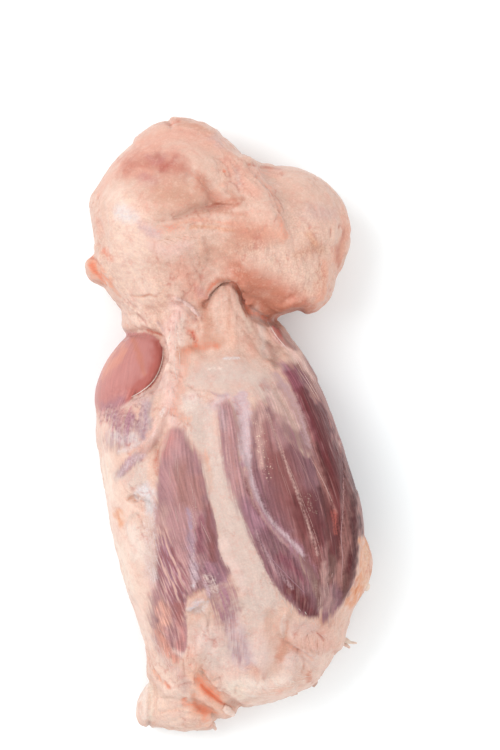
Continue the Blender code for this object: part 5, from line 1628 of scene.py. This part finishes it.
@dataclass
class Strands:
    """Threads of sinew, muscle fibre and blood that lie on the skin."""

    drape: Drape
    regions: tuple[Region, ...]
    step: float = 0.8  # millimetres between a thread's rings
    sides: int = 5
    seed: int = 20
    finish: ShredFinish = ShredFinish("sinew_threads_moist", 0.34, 0.6, 0.35)

    def __post_init__(self) -> None:
        """Prepares the lists that the lines are collected in."""
        self.points: list[Vector] = []
        self.edges: list[tuple[int, int]] = []
        self.radii: list[float] = []
        self.tones: list[Colour] = []
        self.draw = np.random.default_rng(self.seed)

    def add(self, rows: list[tuple[Vector, Vector, float]], colour: Colour, proud: float) -> None:
        """Adds one line.

        Args:
            rows: its spots on the skin, the normals there and its radii in millimetres.
            colour: its colour.
            proud: share of the radius that stands over the skin.
        """
        if len(rows) < 3:
            return
        first = len(self.points)
        for spot, normal, radius in rows:
            self.points.append(spot + normal * (2 * proud - 1) * radius * MM)
            self.radii.append(radius * MM)
            self.tones.append(colour)
        self.edges += [(i, i + 1) for i in range(first, len(self.points) - 1)]

    def lay(self, strand: Strand) -> None:
        """Lays a named strand on the skin."""
        knots = np.asarray(strand.course)
        span = np.linalg.norm(np.diff(knots[:, :2], axis=0), axis=1).mean()
        rows = []
        for x, y, radius in eased(strand.course, max(2, round(span / self.step))):
            hit = self.drape.under(x, y)
            if hit is None:
                break
            rows.append((hit[0], hit[1], radius))
        self.add(rows, strand.colour.value, strand.proud)

    def scatter(self, sheaf: Sheaf) -> None:
        """Scatters a sheaf's strands and lets each follow the flow."""
        line = eased(sheaf.course)
        for _ in range(sheaf.count):
            x, y, half = line[self.draw.integers(len(line))]
            turn, out = self.draw.uniform(0, 2 * math.pi), half * math.sqrt(self.draw.uniform())
            hit = self.drape.under(x + out * math.cos(turn), y + out * math.sin(turn))
            if hit is None:
                continue
            count = max(3, round(sheaf.length * self.draw.uniform(0.5, 1.4) / self.step))
            radius = sheaf.radius * self.draw.uniform(0.7, 1.25)
            veer = self.draw.normal(0, 0.12)
            bend = self.draw.normal(0, 0.05)
            rows = []
            for k in range(count):
                spot, normal, flow = hit
                taper = math.sin(math.pi * (k + 0.5) / count) ** 0.6
                rows.append((spot, normal, radius * taper))
                step = flow + normal.cross(flow) * (veer + bend * math.sin(0.9 * k))
                hit = self.drape.beside(spot + step * self.step * MM)
            shade = self.draw.uniform(0.88, 1.08)
            self.add(rows, tuple(c * shade for c in sheaf.colour.value), sheaf.proud)

    def tube_tree(self) -> bpy.types.NodeTree:
        """Builds the tree that turns lines into thin tubes."""
        nodes = bpy.data.node_groups.new("strand_tubes", "GeometryNodeTree")
        face = nodes.interface
        for name, kind in (("Lines", "Geometry"), ("Sides", "Int"), ("Finish", "Material")):
            face.new_socket(name, in_out="INPUT", socket_type="NodeSocket" + kind)
        face.new_socket("Tubes", in_out="OUTPUT", socket_type="NodeSocketGeometry")
        tree = Tree(nodes)
        source = nodes.nodes.new("NodeGroupInput")
        given = {s.name: Socket(tree, s) for s in source.outputs if s.name}
        lines = tree.node("GeometryNodeMeshToCurve", {}, {"Mesh": given["Lines"]})
        ring = tree.node("GeometryNodeCurvePrimitiveCircle", {"mode": "RADIUS"},
                         {"Resolution": given["Sides"], "Radius": 1.0})
        width = tree.node("GeometryNodeInputNamedAttribute", {"data_type": "FLOAT"}, {"Name": "thickness"})
        tubes = tree.node("GeometryNodeCurveToMesh", {},
                          {"Curve": lines, "Profile Curve": ring, "Scale": width, "Fill Caps": True})
        real = tree.node("GeometryNodeRealizeInstances", {}, {"Geometry": tubes})
        done = tree.node("GeometryNodeSetMaterial", {}, {"Geometry": real, "Material": given["Finish"]})
        out = nodes.nodes.new("NodeGroupOutput")
        nodes.links.new(done.out, out.inputs[0])
        return nodes

    def build(self) -> bpy.types.Object:
        """Builds the piece."""
        for region in self.regions:
            for strand in region.strands:
                self.lay(strand)
            for sheaf in region.sheaves:
                self.scatter(sheaf)
        mesh = bpy.data.meshes.new("strand_lines")
        mesh.from_pydata(self.points, self.edges, [])
        width = mesh.attributes.new("thickness", "FLOAT", "POINT")
        width.data.foreach_set("value", np.array(self.radii, np.float32))
        tone = mesh.attributes.new("tone", "FLOAT_COLOR", "POINT")
        tone.data.foreach_set("color", np.array([(*c, 1) for c in self.tones], np.float32).ravel())
        lines = bpy.data.objects.new("strand_lines", mesh)
        bpy.context.scene.collection.objects.link(lines)
        material = self.finish.material()
        tubes = lines.modifiers.new("tubes", "NODES")
        tubes.node_group = self.tube_tree()
        chosen = {"Sides": self.sides, "Finish": material}
        for item in tubes.node_group.interface.items_tree:
            if item.name in chosen:
                tubes[item.identifier] = chosen[item.name]
        mesh = plain_mesh(lines)
        bpy.data.objects.remove(lines)
        return new_piece("sinew_threads", mesh, material)


@dataclass
class Shreds:
    """Torn tags, flakes and flaps of fat along edges and on the skin."""

    drape: Drape
    regions: tuple[Region, ...]
    ring: int = 14
    seed: float = 31.0
    finish: ShredFinish = ShredFinish("torn_fat_moist", 0.42, 1.1, 0.35)

    def add(self, bm: bmesh.types.BMesh, tone: bmesh.types.BMLayerItem, shred: Shred) -> None:
        """Adds one shred as a closed flattened tube along its course."""
        line = eased(shred.course, 7)
        steps = np.gradient(line[:, :2], axis=0)
        rings = []
        for k, ((x, y, half), run) in enumerate(zip(line, steps)):
            share = k / (len(line) - 1)
            along = Vector((*run, 0)).normalized()
            side = Vector((-along.y, along.x, 0))
            hit = self.drape.under(x, y) if shred.height is None else None
            if hit is None:
                centre = over_plan(x, y, 10.0 if shred.height is None else shred.height)
                up = Vector((0, 0, 1))
            else:
                centre, up, _ = hit
                side = (side - up * side.dot(up)).normalized()
            centre = centre + up * (shred.lift + shred.rise * share * share) * MM
            row = []
            for turn in np.arange(self.ring) / self.ring * 2 * math.pi:
                spread = math.cos(turn) * half
                height = math.sin(turn) * shred.thick * min(1.0, 0.35 + half / 2)
                spot = centre + side * spread * MM + up * height * MM
                shake = noise.noise_vector(spot / (1.4 * MM) + Vector((self.seed, 0, 0)))
                row.append(bm.verts.new(spot + shake * (0.22 + 0.12 * half) * MM))
            rings.append(row)
        for low, high in zip(rings, rings[1:]):
            for i in range(self.ring):
                j = (i + 1) % self.ring
                bm.faces.new((low[i], low[j], high[j], high[i]))
        bm.faces.new(list(reversed(rings[0])))
        bm.faces.new(rings[-1])
        for row in rings:
            for vert in row:
                vert[tone] = (*shred.colour.value, 1.0)

    def build(self) -> bpy.types.Object:
        """Builds the piece."""
        bm = bmesh.new()
        tone = bm.verts.layers.float_color.new("tone")
        for region in self.regions:
            for shred in region.shreds:
                self.add(bm, tone, shred)
        bmesh.ops.recalc_face_normals(bm, faces=bm.faces)
        mesh = bpy.data.meshes.new("torn_fat")
        bm.to_mesh(mesh)
        bm.free()
        rough = bpy.data.objects.new("torn_fat_rough", mesh)
        bpy.context.scene.collection.objects.link(rough)
        finer = rough.modifiers.new("finer", "SUBSURF")
        finer.levels = finer.render_levels = 1
        mesh = plain_mesh(rough)
        bpy.data.objects.remove(rough)
        return new_piece("torn_fat", mesh, self.finish.material())


# ------------------------------------------------------------------ stage
@dataclass
class Stage:
    """Pale floor, soft light from the upper left and a camera straight above."""

    frame_mm: float = 292.5  # height of the picture in the plane of the outline
    middle: tuple[float, float] = (8.4, 19.9)
    distance: float = 2.5
    plane: float = 0.03
    sensor: float = 36.0
    floor_colour: Colour = (0.91, 0.95, 0.96)

    def floor(self) -> None:
        """Lays the floor."""
        bm = bmesh.new()
        bmesh.ops.create_grid(bm, x_segments=1, y_segments=1, size=3.0)
        mesh = bpy.data.meshes.new("floor")
        bm.to_mesh(mesh)
        bm.free()
        paint = bpy.data.materials.new("pale_floor")
        paint.use_nodes = True
        shader = paint.node_tree.nodes["Principled BSDF"]
        shader.inputs["Base Color"].default_value = (*self.floor_colour, 1)
        shader.inputs["Roughness"].default_value = 0.9
        shader.inputs["Specular IOR Level"].default_value = 0.1
        new_piece("floor", mesh, paint)

    def light(self, name: str, place: Triple, size: float, power: float) -> None:
        """Hangs a soft square light that looks at the knuckle."""
        lamp = bpy.data.lights.new(name, "AREA")
        lamp.shape, lamp.size, lamp.energy = "SQUARE", size, power
        hung = bpy.data.objects.new(name, lamp)
        hung.location = place
        hung.rotation_euler = (Vector((0, 0, 0.03)) - Vector(place)).to_track_quat("-Z", "Y").to_euler()
        bpy.context.scene.collection.objects.link(hung)

    def camera(self) -> None:
        """Sets the camera straight above, far off with a long lens."""
        lens = bpy.data.cameras.new("overhead")
        lens.sensor_fit = "VERTICAL"
        lens.sensor_height = self.sensor
        lens.lens = self.sensor * self.distance / (self.frame_mm * MM)
        lens.clip_end = 20
        eye = bpy.data.objects.new("overhead", lens)
        eye.location = (self.middle[0] * MM, self.middle[1] * MM, self.distance + self.plane)
        bpy.context.scene.collection.objects.link(eye)
        bpy.context.scene.camera = eye

    def build(self) -> None:
        """Sets floor, lights, surroundings and camera."""
        self.floor()
        self.light("key", (-1.0, 0.5, 1.45), 1.2, 19)
        self.light("fill", (0.9, -0.5, 1.4), 1.6, 8)
        world = bpy.data.worlds.new("studio")
        world.use_nodes = True
        shade = world.node_tree.nodes["Background"]
        shade.inputs["Color"].default_value = (1, 1, 1, 1)
        shade.inputs["Strength"].default_value = 0.92
        bpy.context.scene.world = world
        bpy.context.scene.view_settings.view_transform = "Standard"
        self.camera()


def main() -> None:
    """Builds every piece and reports it."""
    logging.basicConfig(level=logging.INFO, format="%(message)s")
    knuckle = Knuckle()
    skin = knuckle.build()
    drape = Drape(skin)
    pieces = [skin, Strands(drape, knuckle.regions).build(), Shreds(drape, knuckle.regions).build()]
    for piece in pieces:
        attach(piece, "root")
        piece.data.calc_loop_triangles()
        LOG.info("%s: %d triangles", piece.name, len(piece.data.loop_triangles))
    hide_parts("knuckle")
    Stage().build()


if __name__ == "__main__":
    main()
